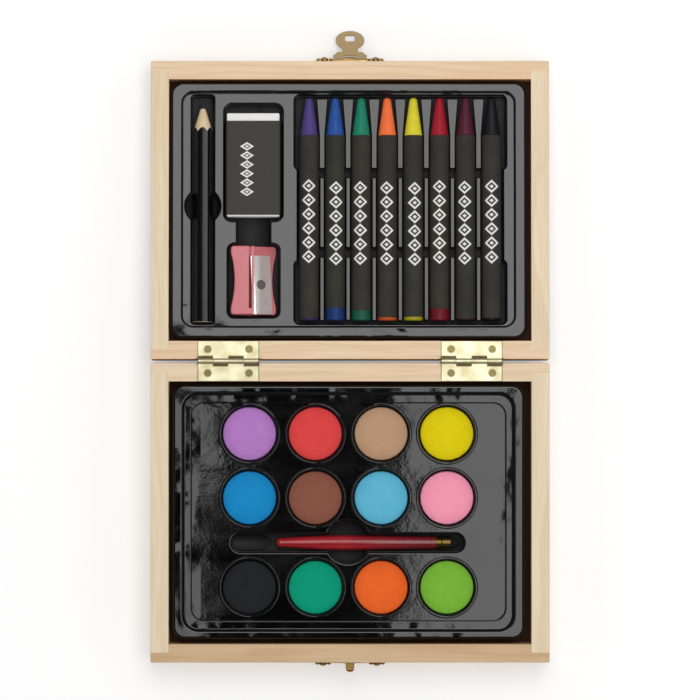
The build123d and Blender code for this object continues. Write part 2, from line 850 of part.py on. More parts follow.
def paint_cake(x, y):
    cake = Pos(0, 0, cake_height / 2) * Cylinder(cake_radius, cake_height)
    cake = fillet(cake.edges().group_by(Axis.Z)[-1], cake_edge_round)
    return Pos(x, y, well_floor) * cake


def lid_y(distance):
    """A distance from the lid's front face, as a place along Y with the lid flat."""
    return lid_front_y - distance


def tool_tray_mould(grow):
    low = lid_outer_z + panel_thickness - (1 if grow else 0)
    x = tool_tray_shift_x
    flange_top = base_rim - tool_flange_drop
    top = base_rim - tool_plateau_drop
    floor = item_floor_z
    mould = slab(
        tool_tray_width, tool_tray_depth, 5, low, flange_top, x, lid_y(tool_tray_centre), grow
    )
    mould -= opened(
        tool_flange_inner_width,
        tool_flange_inner_depth,
        4,
        top,
        x,
        lid_y(tool_plateau_centre),
        grow,
    )
    if not grow:
        mould = softened(mould, flange_top, flange_round)
    pocket_middle = (pocket_front + pocket_back) / 2
    pocket_length = pocket_back - pocket_front
    eraser_middle = (eraser_pocket_front + eraser_pocket_back) / 2
    eraser_size = eraser_pocket_back - eraser_pocket_front
    sharpener_middle = (sharpener_pocket_front + sharpener_pocket_back) / 2
    sharpener_size = sharpener_pocket_back - sharpener_pocket_front
    recess_front = eraser_pocket_back - recess_bite
    recess_back = sharpener_pocket_front + recess_bite
    recess_middle = (recess_front + recess_back) / 2
    waist_middle = (crayon_waist_front + crayon_waist_back) / 2
    waist_size = crayon_waist_back - crayon_waist_front
    cuts = [
        pocket(
            RectangleRounded(pencil_pocket_width, pocket_length, 1.2),
            pencil_x,
            lid_y(pocket_middle),
            top,
            floor,
            grow,
        ),
        pocket(
            Circle(pencil_notch_radius), pencil_x, lid_y(pencil_notch_d), top, floor, grow
        ),
        pocket(
            RectangleRounded(eraser_pocket_width, eraser_size, 3),
            eraser_x,
            lid_y(eraser_middle),
            top,
            floor,
            grow,
        ),
        pocket(
            RectangleRounded(recess_width, recess_back - recess_front, 1),
            sharpener_x,
            lid_y(recess_middle),
            top,
            floor,
            grow,
        ),
        pocket(
            RectangleRounded(sharpener_pocket_width, sharpener_size, 2.5),
            sharpener_x,
            lid_y(sharpener_middle),
            top,
            floor,
            grow,
        ),
    ]
    ends = [
        (pocket_front, crayon_waist_front),
        (crayon_waist_back, pocket_back),
    ]
    for front, back in ends:
        cuts.append(
            pocket(
                RectangleRounded(crayon_pocket_width, back - front, 2),
                crayon_pocket_centre,
                lid_y((front + back) / 2),
                top,
                floor,
                grow,
            )
        )
    cuts.append(
        pocket(
            RectangleRounded(crayon_waist_width, waist_size + 2 * crayon_waist_overlap, 1),
            crayon_pocket_centre,
            lid_y(waist_middle),
            top,
            floor,
            grow,
        )
    )
    for cut in cuts:
        mould -= cut
    if not grow:
        mould = softened_mouths(
            mould,
            top,
            mouth_round,
            x,
            lid_y(tool_plateau_centre),
            tool_flange_inner_width,
            tool_flange_inner_depth,
        )
    return mould


def rib_foot_face(front, back):
    """A rib's foot. In front of the crayons' shoulders it widens between their cones."""
    shoulder = crayon_tip + crayon_cone_length
    narrow = rib_foot / 2
    right = [(narrow, lid_y(back)), (narrow, lid_y(front))]
    if front < shoulder:
        right = [(narrow, lid_y(back)), (narrow, lid_y(shoulder))]
        right.append((narrow + rib_tip_spread, lid_y(front)))
    left = [(-x, y) for x, y in reversed(right)]
    face = make_face(Polyline(right + left, close=True))
    ends = face.vertices().group_by(Axis.Y)
    return fillet(ends[0] + ends[-1], min(0.6, 0.4 * rib_foot))


def crayon_ribs():
    """The thin walls between the crayons."""
    ribs = []
    edge = min(0.3, 0.4 * rib_top)
    for index in range(crayon_count - 1):
        x = crayon_first_x + (index + 0.5) * crayon_pitch
        for front, back in rib_sections:
            draft = rib_draft if front > crayon_tip + crayon_cone_length else 0
            rib = extrude(rib_foot_face(front, back), rib_height + rib_root, taper=draft)
            rib = fillet(rib.edges().group_by(Axis.Z)[-1], edge)
            ribs.append(Pos(x, 0, item_floor_z - rib_root) * rib)
    return ribs


def tool_tray():
    tray = tool_tray_mould(0) - tool_tray_mould(tray_sheet)
    for rib in crayon_ribs():
        tray += rib
    return tray


# Items, drawn with the lid flat


def crayon_place(index):
    x = crayon_first_x + index * crayon_pitch
    back = lid_y(crayon_tip + crayon_length)
    return Pos(x, back, item_floor_z + crayon_radius) * Rot(-90, 0, 0)


def crayon_wax(index):
    """The wax stick: a bare end, the wrapped length, and a blunt cone."""
    body = crayon_radius - wrapper_thickness
    shoulder = crayon_length - crayon_cone_length
    profile = make_face(
        Polyline(
            (0, 0),
            (body - 0.4, 0),
            (body, 0.4),
            (body, shoulder),
            (crayon_cone_radius, shoulder + 0.3),
            (crayon_tip_radius, crayon_length - 0.7),
            (crayon_tip_radius - 0.7, crayon_length),
            (0, crayon_length),
            close=True,
        )
    )
    stick = revolve(Rot(90, 0, 0) * profile, Axis.Z)
    return crayon_place(index) * stick


def crayon_wrapper(index):
    bare_end = crayon_bare_ends[index]
    length = crayon_length - crayon_cone_length - bare_end
    inner = crayon_radius - wrapper_thickness
    sleeve = Cylinder(crayon_radius, length) - Cylinder(inner, length)
    return crayon_place(index) * Pos(0, 0, bare_end + length / 2) * sleeve


def pencil_place():
    back = lid_y(pencil_tip + pencil_length)
    height = item_floor_z + pencil_across_flats / 2
    return Pos(pencil_x, back, height) * Rot(-90, 0, 0)


def pencil_cone():
    """The sharpened outline, as a solid that the casing and the lead are cut with."""
    corner = pencil_across_flats / math.sqrt(3)
    slope = (corner - pencil_tip_radius) / pencil_cone_length
    wide = corner + 4 * slope
    start = pencil_length - pencil_cone_length - 4
    cone = Cone(wide, pencil_tip_radius, pencil_cone_length + 4)
    cone = Pos(0, 0, start + (pencil_cone_length + 4) / 2) * cone
    return cone + Pos(0, 0, start / 2) * Cylinder(wide, start)


def pencil_casing():
    corner = pencil_across_flats / math.sqrt(3)
    prism = extrude(RegularPolygon(corner, 6), pencil_length)
    core = Pos(0, 0, pencil_length / 2) * Cylinder(pencil_lead_radius, pencil_length + 2)
    return pencil_place() * ((prism & pencil_cone()) - core)


def pencil_lead():
    core = Pos(0, 0, pencil_length / 2) * Cylinder(pencil_lead_radius, pencil_length)
    return pencil_place() * (core & pencil_cone())


def eraser_place(distance):
    return Pos(eraser_x, lid_y(distance), item_floor_z + eraser_sleeve_height / 2)


def eraser_block():
    width = eraser_sleeve_width - 2 * sleeve_thickness
    height = eraser_sleeve_height - 2 * sleeve_thickness
    face = RectangleRounded(width, height, eraser_edge_round)
    rubber = extrude(face, eraser_length)
    ends = rubber.edges().group_by(Axis.Z)
    rubber = fillet(ends[0] + ends[-1], 0.5)
    return eraser_place(eraser_front + eraser_length) * Rot(-90, 0, 0) * rubber


def eraser_sleeve():
    width = eraser_sleeve_width - 2 * sleeve_thickness
    height = eraser_sleeve_height - 2 * sleeve_thickness
    outer = RectangleRounded(
        eraser_sleeve_width, eraser_sleeve_height, eraser_edge_round + sleeve_thickness
    )
    inner = RectangleRounded(width, height, eraser_edge_round)
    sleeve = extrude(outer - inner, eraser_sleeve_length)
    back = eraser_front + eraser_length - eraser_bare_back
    return eraser_place(back) * Rot(-90, 0, 0) * sleeve


# Sharpener, drawn about its own middle, with its mouth toward the hinges

hole_half_angle = math.degrees(
    math.atan((sharpener_hole_radius - sharpener_hole_end_radius) / sharpener_hole_length)
)


def sharpener_place():
    middle = lid_y(sharpener_front + sharpener_length / 2)
    return Pos(sharpener_x, middle, item_floor_z)


def blade_seat():
    """The tilted plane that just opens the conical hole along the blade's cutting edge."""
    middle_radius = (sharpener_hole_radius + sharpener_hole_end_radius) / 2
    middle_y = -sharpener_length / 2 + sharpener_hole_length / 2
    tilt = math.radians(blade_tilt)
    x = sharpener_hole_x + middle_radius * math.sin(tilt)
    z = sharpener_hole_height + middle_radius * math.cos(tilt)
    tilted = Pos(x, middle_y, z) * Rot(0, blade_tilt, 0) * Rot(-hole_half_angle, 0, 0)
    return tilted * Pos(0, 0, -blade_bite)


def sharpener_hole():
    half = sharpener_length / 2
    extra = 1.0
    slope = (sharpener_hole_radius - sharpener_hole_end_radius) / sharpener_hole_length
    length = sharpener_hole_length + extra
    mouth_radius = sharpener_hole_radius + extra * slope
    cone = Cone(mouth_radius, sharpener_hole_end_radius, length)
    place = Pos(sharpener_hole_x, -half - extra + length / 2, sharpener_hole_height)
    return place * Rot(-90, 0, 0) * cone


def blade_screw_seat():
    return blade_seat() * Pos(blade_screw_along, 0, 0)


def sharpener_body():
    half = sharpener_length / 2
    wide = sharpener_width / 2
    waist = sharpener_waist / 2
    right = [
        Line((wide, -half), (wide, -half + 3)),
        ThreePointArc((wide, -half + 3), (waist, 0), (wide, half - 3)),
        Line((wide, half - 3), (wide, half)),
        Line((wide, half), (-wide, half)),
        Line((-wide, half), (-wide, half - 3)),
        ThreePointArc((-wide, half - 3), (-waist, 0), (-wide, -half + 3)),
        Line((-wide, -half + 3), (-wide, -half)),
        Line((-wide, -half), (wide, -half)),
    ]
    outline = make_face(Curve() + right)
    body = extrude(outline, sharpener_height)
    corners = body.edges().filter_by(Axis.Z)
    corners = corners.filter_by(lambda edge: abs(abs(edge.center().Y) - half) < 0.01)
    body = fillet(corners, 1.2)
    body = fillet(body.edges().group_by(Axis.Z)[-1], 0.5)
    reach = 2 * sharpener_width
    above = blade_seat() * Pos(reach / 2, 0, reach / 2) * Box(reach, 2 * sharpener_length, reach)
    slot_left = sharpener_slot_x - sharpener_slot_width / 2
    keep_left = block(-reach, slot_left, -sharpener_length, sharpener_length, -reach, reach)
    body -= above - keep_left
    body -= sharpener_hole()
    slot = block(
        slot_left,
        slot_left + sharpener_slot_width,
        -half + sharpener_slot_stop,
        half + 1,
        sharpener_hole_height,
        sharpener_height + 1,
    )
    body -= slot
    depth = blade_screw_depth
    screw_hole = Pos(0, 0, -depth / 2) * Cylinder(blade_screw_radius, depth)
    return body - blade_screw_seat() * screw_hole


def sharpener_blade():
    """The steel blade, its cutting edge ground toward the slot."""
    half = blade_width / 2
    plate = Pos(half, 0, blade_thickness / 2) * Box(blade_width, blade_length, blade_thickness)
    edge = plate.edges().filter_by(Axis.Y).group_by(Axis.Z)[-1].sort_by(Axis.X)[0]
    plate = chamfer(edge, blade_thickness * 0.8, blade_bevel)
    hole = Pos(blade_screw_along, 0, 0) * Cylinder(blade_screw_radius, 4)
    return blade_seat() * (plate - hole)


def sharpener_screw():
    """A slotted screw that clamps the blade."""
    head = Pos(0, 0, blade_thickness + 0.45) * Cylinder(blade_screw_head_radius, 0.9)
    head = fillet(head.edges().group_by(Axis.Z)[-1], 0.4)
    length = blade_thickness + blade_screw_depth
    shank = Pos(0, 0, blade_thickness - length / 2) * Cylinder(blade_screw_radius, length)
    slot = Pos(0, 0, blade_thickness + 0.9) * Rot(0, 0, 35) * Box(6, 0.5, 0.8)
    return blade_screw_seat() * (head + shank - slot)


# Brush, drawn along X


def brush_place(x):
    return Pos(x, brush_y, brush_slot_floor + brush_belly_radius) * Rot(0, 90, 0)


def brush_handle():
    """A turned handle: round tail, belly, and a spigot inside the ferrule."""
    length = ferrule_start_x - brush_tail_x
    belly = brush_belly_x - brush_tail_x
    spigot = ferrule_radius - ferrule_wall
    tail = brush_tail_radius
    line = [
        Line((0, 0), (tail * 0.4, 0)),
        ThreePointArc((tail * 0.4, 0), (tail * 0.86, tail * 0.34), (tail, tail)),
        Spline((tail, tail), (brush_belly_radius, belly), tangents=[(0.06, 1), (0, 1)]),
        Spline(
            (brush_belly_radius, belly), (brush_neck_radius, length), tangents=[(0, 1), (-0.02, 1)]
        ),
        Line((brush_neck_radius, length), (spigot, length)),
        Line((spigot, length), (spigot, length + brush_spigot_length)),
        Line((spigot, length + brush_spigot_length), (0, length + brush_spigot_length)),
        Line((0, length + brush_spigot_length), (0, 0)),
    ]
    profile = make_face(Curve() + line)
    return brush_place(brush_tail_x) * revolve(Rot(90, 0, 0) * profile, Axis.Z)


def brush_ferrule():
    """A brass tube with one rolled groove."""
    inner = ferrule_radius - ferrule_wall
    ring = Cylinder(ferrule_radius, ferrule_length) - Cylinder(inner, ferrule_length)
    groove = Pos(0, 0, -0.6) * Torus(ferrule_radius + 0.35 - ferrule_groove, 0.35)
    ring -= groove
    return brush_place(ferrule_start_x) * Pos(0, 0, ferrule_length / 2) * ring


def brush_bristles():
    """The tuft: a bound root in the ferrule, and straight strands that never cross."""
    root_radius = ferrule_radius - ferrule_wall
    depth = ferrule_length - brush_spigot_length - strand_root
    root = Pos(0, 0, depth / 2) * Cylinder(root_radius, depth)
    reach = root_radius - strand_radius - 0.02
    row_pitch = strand_pitch * math.sqrt(3) / 2
    rows = int(reach / row_pitch)
    triangle = RegularPolygon(strand_radius, 3)
    strands = []
    for row in range(-rows, rows + 1):
        for column in range(-rows - 2, rows + 3):
            x = (column + 0.5 * (row % 2)) * strand_pitch
            y = row * row_pitch
            share = math.hypot(x, y) / reach
            if share > 1:
                continue
            free = tuft_length * (tuft_shoulder + (1 - tuft_shoulder) * math.sqrt(1 - share**2))
            strands.append(Pos(x, y, depth) * extrude(triangle, strand_root + free))
    print("strands", len(strands))
    tuft = root.fuse(*strands)
    return brush_place(ferrule_start_x + brush_spigot_length) * tuft


# Build and save each node


def save(name, shape):
    shape.label = name
    export_step(shape, f"parts/{name}.step")


seats = hinge_seats()

front = end_wall_piece(base_height)
for side in (-1, 1):
    front -= on_base * dome_nail_pilot(side * catch_ear_x, catch_ear_z)
save("base_front_wall", front)

back = half_turn * end_wall_piece(base_height)
for seat in seats:
    back -= seat
save("base_back_wall", back)
save("base_left_wall", side_wall_piece(base_height))
save("base_right_wall", half_turn * side_wall_piece(base_height))
save("base_panel", panel_piece())

front = lid_place * end_wall_piece(lid_height)
for side in (-1, 1):
    front -= on_lid * dome_nail_pilot(side * clasp_ear_x, clasp_ear_z)
save("lid_front_wall", leaned(front))

back = lid_place * half_turn * end_wall_piece(lid_height)
for seat in seats:
    back -= seat
save("lid_back_wall", leaned(back))
save("lid_left_wall", leaned(lid_place * half_turn * side_wall_piece(lid_height)))
save("lid_right_wall", leaned(lid_place * side_wall_piece(lid_height)))
save("lid_panel", leaned(lid_place * panel_piece()))

save("base_hinge_leaves", hinge_leaf_pair(False))
save("lid_hinge_leaves", leaned(hinge_leaf_pair(True)))
save("hinge_pins", leaned(hinge_pins()))

nails = []
for x, y in leaf_nails(False):
    nails.append(leaf_nail(x, y))
for side in (-1, 1):
    nails.append(on_base * dome_nail(side * catch_ear_x, catch_ear_z))
save("base_nails", Compound(nails))

nails = []
for x, y in leaf_nails(True):
    nails.append(leaf_nail(x, y))
for side in (-1, 1):
    nails.append(on_lid * dome_nail(side * clasp_ear_x, clasp_ear_z))
save("lid_nails", leaned(Compound(nails)))

save("catch_plate", on_base * catch_plate())
save("clasp_plate", leaned(on_lid * clasp_plate()))
swing = (
    Pos(0, pivot_out, -pivot_below_rim)
    * Rot(-flap_open_angle, 0, 0)
    * Pos(0, -pivot_out, pivot_below_rim)
)
save("clasp_flap", leaned(on_lid * swing * clasp_flap()))
save("clasp_pin", leaned(on_lid * clasp_pin()))

save("paint_tray", paint_tray())
paint_names = [
    "violet",
    "red",
    "tan",
    "yellow",
    "blue",
    "brown",
    "sky_blue",
    "pink",
    "black",
    "green",
    "orange",
    "light_green",
]
for name, (x, y) in zip(paint_names, well_centres()):
    save(f"paint_{name}", paint_cake(x, y))

save("brush_handle", brush_handle())
save("brush_ferrule", brush_ferrule())
save("brush_bristles", brush_bristles())

save("tool_tray", leaned(tool_tray()))
crayon_names = ["purple", "blue", "green", "orange", "yellow", "red", "maroon", "black"]
for index, name in enumerate(crayon_names):
    save(f"crayon_{name}_wax", leaned(crayon_wax(index)))
    save(f"crayon_{name}_wrapper", leaned(crayon_wrapper(index)))
save("pencil_casing", leaned(pencil_casing()))
save("pencil_lead", leaned(pencil_lead()))
save("eraser_block", leaned(eraser_block()))
save("eraser_sleeve", leaned(eraser_sleeve()))
save("sharpener_body", leaned(sharpener_place() * sharpener_body()))
save("sharpener_blade", leaned(sharpener_place() * sharpener_blade()))
save("sharpener_screw", leaned(sharpener_place() * sharpener_screw()))

print("lid leans", round(lid_lean, 4), "degrees")
print("flap opens", round(flap_open_angle, 4), "degrees from latched")
print("hinge line", round(axis_y, 3), round(axis_z, 3))
print("flap pin before the lid leans", round(pivot_y, 3), round(pivot_z, 3))
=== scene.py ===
import json
import math
import random

import bmesh
import bpy
from mathutils import Matrix, Vector


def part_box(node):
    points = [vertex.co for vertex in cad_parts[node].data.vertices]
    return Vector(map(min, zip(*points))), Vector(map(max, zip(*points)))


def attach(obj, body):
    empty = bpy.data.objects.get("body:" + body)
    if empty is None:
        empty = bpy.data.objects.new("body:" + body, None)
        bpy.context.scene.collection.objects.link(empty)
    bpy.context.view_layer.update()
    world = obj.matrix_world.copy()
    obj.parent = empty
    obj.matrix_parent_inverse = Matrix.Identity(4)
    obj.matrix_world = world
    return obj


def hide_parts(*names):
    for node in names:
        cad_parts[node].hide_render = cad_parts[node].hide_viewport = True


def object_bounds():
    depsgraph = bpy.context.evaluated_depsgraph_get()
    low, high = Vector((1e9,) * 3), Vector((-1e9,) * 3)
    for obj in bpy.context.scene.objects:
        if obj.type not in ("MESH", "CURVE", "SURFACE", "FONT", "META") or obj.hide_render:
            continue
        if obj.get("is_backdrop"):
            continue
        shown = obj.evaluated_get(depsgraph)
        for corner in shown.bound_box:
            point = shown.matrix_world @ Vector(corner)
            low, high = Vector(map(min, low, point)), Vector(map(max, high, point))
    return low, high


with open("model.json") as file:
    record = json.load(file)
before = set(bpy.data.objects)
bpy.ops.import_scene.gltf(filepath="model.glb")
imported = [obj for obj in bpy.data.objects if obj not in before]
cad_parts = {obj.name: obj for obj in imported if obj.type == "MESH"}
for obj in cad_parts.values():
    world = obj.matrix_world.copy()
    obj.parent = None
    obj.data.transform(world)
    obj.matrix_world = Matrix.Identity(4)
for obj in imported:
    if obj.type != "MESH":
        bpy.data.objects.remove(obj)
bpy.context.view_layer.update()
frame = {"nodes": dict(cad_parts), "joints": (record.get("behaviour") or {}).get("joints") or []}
nodes = frame["nodes"]
joints = {joint["name"]: joint for joint in frame["joints"]}

MM = 0.001

# The lid leans back about the hinge line. Its own frame has Y and Z from that line, in
# millimetres, as they are when the lid lies level.
hinge = Vector(joints["lid_hinge"]["pos_m"])
lid_up = Vector(joints["pencil_lift"]["axis"])
lean = math.atan2(lid_up.y, lid_up.z)
to_row = Matrix.Translation(hinge) @ Matrix.Rotation(-lean, 4, "X")


# Helpers for finishes


def colour(text):
    """An sRGB hex value as linear red, green, blue and alpha."""
    parts = [int(text[i : i + 2], 16) / 255 for i in (1, 3, 5)]
    linear = [p / 12.92 if p <= 0.04045 else ((p + 0.055) / 1.055) ** 2.4 for p in parts]
    return (*linear, 1.0)


def node(tree, kind, links=None, **settings):
    """Adds a node with its settings, and links or sets its inputs."""
    made = tree.nodes.new(kind)
    for name, value in settings.items():
        setattr(made, name, value)
    for socket, value in (links or {}).items():
        if isinstance(value, bpy.types.NodeSocket):
            tree.links.new(value, made.inputs[socket])
        else:
            made.inputs[socket].default_value = value
    return made


def new_finish(name, **settings):
    """A material with one principled shader whose plain values are set."""
    material = bpy.data.materials.new(name)
    material.use_nodes = True
    tree = material.node_tree
    shader = tree.nodes["Principled BSDF"]
    for socket, value in settings.items():
        shader.inputs[socket.replace("_", " ")].default_value = value
    return material, tree, shader


def in_mm(tree, on_lid=False, along="x", size=(1.0, 1.0, 1.0), origin=(0.0, 0.0, 0.0)):
    """Object coordinates in millimetres. On the lid they start at the hinge line and lie
    level with the lid. X runs along the grain, and each axis is scaled."""
    source = node(tree, "ShaderNodeTexCoord").outputs["Object"]
    turn = Matrix.Rotation(lean, 3, "X") if on_lid else Matrix.Identity(3)
    start = hinge / MM if on_lid else Vector((0, 0, 0))
    start = -(turn @ start) - Vector(origin)
    level = node(
        tree,
        "ShaderNodeMapping",
        {
            "Vector": source,
            "Location": start,
            "Rotation": turn.to_euler(),
            "Scale": (1 / MM, 1 / MM, 1 / MM),
        },
    ).outputs["Vector"]
    if along == "x" and size == (1.0, 1.0, 1.0):
        return level
    spin = (0, 0, -math.pi / 2) if along == "y" else (0, 0, 0)
    turned = node(tree, "ShaderNodeMapping", {"Vector": level, "Rotation": spin})
    return node(
        tree,
        "ShaderNodeMapping",
        {"Vector": turned.outputs["Vector"], "Scale": size},
    ).outputs["Vector"]


def noise(tree, place, scale, detail=3.0, roughness=0.55):
    """Cloudy noise from 0 to 1, with its clouds about one over the scale apart."""
    return node(
        tree,
        "ShaderNodeTexNoise",
        {"Vector": place, "Scale": scale, "Detail": detail, "Roughness": roughness},
    ).outputs["Fac"]


def spread(tree, value, low, high, to_low=0.0, to_high=1.0):
    """A value moved from one range to another, and kept inside it."""
    return node(
        tree,
        "ShaderNodeMapRange",
        {"Value": value, "From Min": low, "From Max": high, "To Min": to_low, "To Max": to_high},
    ).outputs["Result"]


def mixed(tree, amount, low, high, kind="MIX"):
    """A mix of two colours by an amount."""
    made = node(tree, "ShaderNodeMix", data_type="RGBA", blend_type=kind)
    for socket, value in ((0, amount), (6, low), (7, high)):
        if isinstance(value, bpy.types.NodeSocket):
            tree.links.new(value, made.inputs[socket])
        else:
            made.inputs[socket].default_value = value
    return made.outputs[2]


def sums(tree, kind, *values):
    """One arithmetic step on plain values."""
    made = node(tree, "ShaderNodeMath", operation=kind)
    for index, value in enumerate(values):
        if isinstance(value, bpy.types.NodeSocket):
            tree.links.new(value, made.inputs[index])
        else:
            made.inputs[index].default_value = value
    return made.outputs[0]


def raise_by(tree, shader, height, depth_mm, strength=1.0):
    """Bumps the surface by a height, where a height of 1 is a depth in millimetres."""
    bump = node(
        tree,
        "ShaderNodeBump",
        {"Height": height, "Distance": depth_mm * MM, "Strength": strength},
    )
    tree.links.new(bump.outputs["Normal"], shader.inputs["Normal"])


def axes(tree, vector):
    """The X, Y and Z parts of a vector."""
    return node(tree, "ShaderNodeSeparateXYZ", {"Vector": vector}).outputs


def facing(tree):
    """The X, Y and Z parts of the way a face looks, in the piece's own frame."""
    return axes(tree, node(tree, "ShaderNodeTexCoord").outputs["Normal"])


def distance(tree, *offsets):
    """The length of an offset from its parts."""
    total = None
    for offset in offsets:
        square = sums(tree, "MULTIPLY", offset, offset)
        total = square if total is None else sums(tree, "ADD", total, square)
    return sums(tree, "SQRT", total)


def coat_of(node_name, material):
    """Gives a CAD node its finish."""
    slots = nodes[node_name].data.materials
    slots.clear()
    slots.append(material)


# Wood finishes


# The pine's rings, in millimetres: how far apart they and the finer lines between them lie,
# how far they wander, and how far below zero the pith lies
ring_pitch = 4.1
fine_pitch = 1.37
ring_wander = 14.0
pith_depth = 34.0

# Half the thickness of the plywood, and where the outside of each panel lies
ply_half = 1.0
base_outside_z = 0.0
lid_outside_z = -13.05


def sawn_pine(name, tones, along, on_lid, shift):
    """Bare sanded pine: pale early wood, and warmer late wood in slow lines, some 4 mm
    apart, that widen where a board is cut along its rings. The flanks are painted darker
    and warmer than the rims, as painted shade, and the sawn ends are pale and full of pores.
    The tones are early wood, late wood, the flush of heartwood and the painted shade on the
    flanks."""
    early, late, flush, flank_shade = (colour(tone) for tone in tones)
    material, tree, shader = new_finish(name, Roughness=0.72, Specular_IOR_Level=0.3)
    plain = in_mm(tree, on_lid, along)
    wander = noise(tree, in_mm(tree, on_lid, along, (0.009, 0.05, 0.05)), 1.0, 2.0)
    # The pith lies outside the board, so the rings cross its faces as long lines
    heart = node(
        tree,
        "ShaderNodeMapping",
        {"Vector": plain, "Location": (0, shift, pith_depth), "Scale": (0.0, 1.0, 1.0)},
    ).outputs["Vector"]
    reach = node(tree, "ShaderNodeVectorMath", {0: heart}, operation="LENGTH").outputs["Value"]
    bent = sums(tree, "ADD", reach, sums(tree, "MULTIPLY", wander, ring_wander))
    late_band = None
    for pitch, start, weight in ((ring_pitch, 0.2, 0.75), (fine_pitch, 0.4, 0.2)):
        wave = sums(tree, "FRACT", sums(tree, "DIVIDE", bent, pitch))
        rise, fall = spread(tree, wave, start, 0.9), spread(tree, wave, 1.0, 0.9)
        band = sums(tree, "MULTIPLY", sums(tree, "MULTIPLY", rise, fall), weight)
        late_band = band if late_band is None else sums(tree, "ADD", late_band, band)
    fibres = noise(tree, in_mm(tree, on_lid, along, (0.035, 1.6, 1.6)), 1.0, 4.0, 0.7)
    broad = noise(tree, in_mm(tree, on_lid, along, (0.006, 0.07, 0.07)), 1.0, 2.0)
    looks = facing(tree)
    flank_share = spread(tree, sums(tree, "ABSOLUTE", looks["Z"]), 0.8, 0.3)
    band_share = spread(tree, flank_share, 0.0, 1.0, 0.34, 0.7)
    tint = mixed(tree, sums(tree, "MULTIPLY", late_band, band_share), early, late)
    tint = mixed(tree, spread(tree, broad, 0.38, 0.68, 0.0, 0.6), tint, flush)
    dark = mixed(tree, 1.0, tint, colour("#DDD5CB"), "MULTIPLY")
    tint = mixed(tree, spread(tree, fibres, 0.42, 0.72, 0.0, 0.45), tint, dark)
    # Painted shade: the flanks are darkened and warmed by the way they face
    shaded_flank = mixed(tree, 1.0, tint, flank_shade, "MULTIPLY")
    tint = mixed(tree, flank_share, tint, shaded_flank)
    pores = noise(tree, in_mm(tree, on_lid, along, (1.2, 2.4, 2.4)), 1.0, 3.0, 0.7)
    sawn = mixed(tree, spread(tree, pores, 0.45, 0.7), colour("#E4CDA9"), colour("#C9A77C"))
    end_share = spread(tree, sums(tree, "ABSOLUTE", looks[along.upper()]), 0.8, 0.95)
    tint = mixed(tree, end_share, tint, sawn)
    tree.links.new(tint, shader.inputs["Base Color"])
    relief = sums(tree, "ADD", sums(tree, "MULTIPLY", fibres, 0.8), late_band)
    raise_by(tree, shader, relief, 0.06, 0.6)
    return material


def faced_plywood(name, on_lid):
    """Basswood plywood, 2 mm: pale outer faces with short ray flecks a few millimetres
    long, and an edge whose middle ply runs the other way and looks darker. Its inside face
    is painted dark brown, as painted shade in the deep gaps round the trays."""
    material, tree, shader = new_finish(name, Roughness=0.7, Specular_IOR_Level=0.3)
    fleck = noise(tree, in_mm(tree, on_lid, "x", (0.15, 0.95, 0.95)), 1.0, 2.0, 0.5)
    glint = noise(tree, in_mm(tree, on_lid, "x", (0.12, 0.8, 0.8), (40, 70, 0)), 1.0, 2.0, 0.5)
    cloud = noise(tree, in_mm(tree, on_lid, "x", (0.012, 0.03, 0.03)), 1.0, 3.0)
    fine = noise(tree, in_mm(tree, on_lid, "x", (0.05, 3.0, 3.0)), 1.0, 3.0, 0.7)
    tint = mixed(tree, spread(tree, cloud, 0.35, 0.65), colour("#E1DBCA"), colour("#D9D2BC"))
    tint = mixed(tree, spread(tree, glint, 0.56, 0.64, 0.0, 0.7), tint, colour("#ECE7DA"))
    tint = mixed(tree, spread(tree, fleck, 0.57, 0.66, 0.0, 0.75), tint, colour("#C9BC98"))
    tint = mixed(tree, spread(tree, fine, 0.5, 0.8, 0.0, 0.3), tint, colour("#CDC2A4"))
    looks = facing(tree)
    height = axes(tree, in_mm(tree, on_lid))["Z"]
    middle = (lid_outside_z if on_lid else base_outside_z) + ply_half
    from_middle = sums(tree, "ABSOLUTE", sums(tree, "SUBTRACT", height, middle))
    core = spread(tree, from_middle, 0.42, 0.34)
    sideways = spread(tree, sums(tree, "ABSOLUTE", looks["Z"]), 0.5, 0.3)
    core = sums(tree, "MULTIPLY", core, sideways)
    tint = mixed(tree, sums(tree, "MULTIPLY", core, 0.7), tint, colour("#B19A74"))
    # Painted shade: the inside face, which lies in the deep gaps round the trays, is painted
    # dark brown
    inside_shade = mixed(tree, spread(tree, fine, 0.35, 0.7), colour("#54301A"), colour("#3C2010"))
    tint = mixed(tree, spread(tree, looks["Z"], 0.4, 0.6), tint, inside_shade)
    tree.links.new(tint, shader.inputs["Base Color"])
    raise_by(tree, shader, sums(tree, "ADD", fleck, fine), 0.05, 0.5)
    return material


# Metal finishes


# The hinges' sheet, in millimetres: each hinge's middle and half width along the hinge
# line, its nails to each side and away from the line, its knuckles, and its notches
hinge_middle = 48.75
leaf_half = 12.35
leaf_nail_side = 8.25
leaf_nail_reach = 4.8
knuckle_pitch = 6.175
leaf_notch = 1.25

# The clasp's nails lie farther from the hinge line than this, and the hinges' nearer
nail_divide = 20.0

# What is left of the bath in the clasp's hollows, and the painted shade round the ears' nails
bath_and_shade_black = "#1E1206"


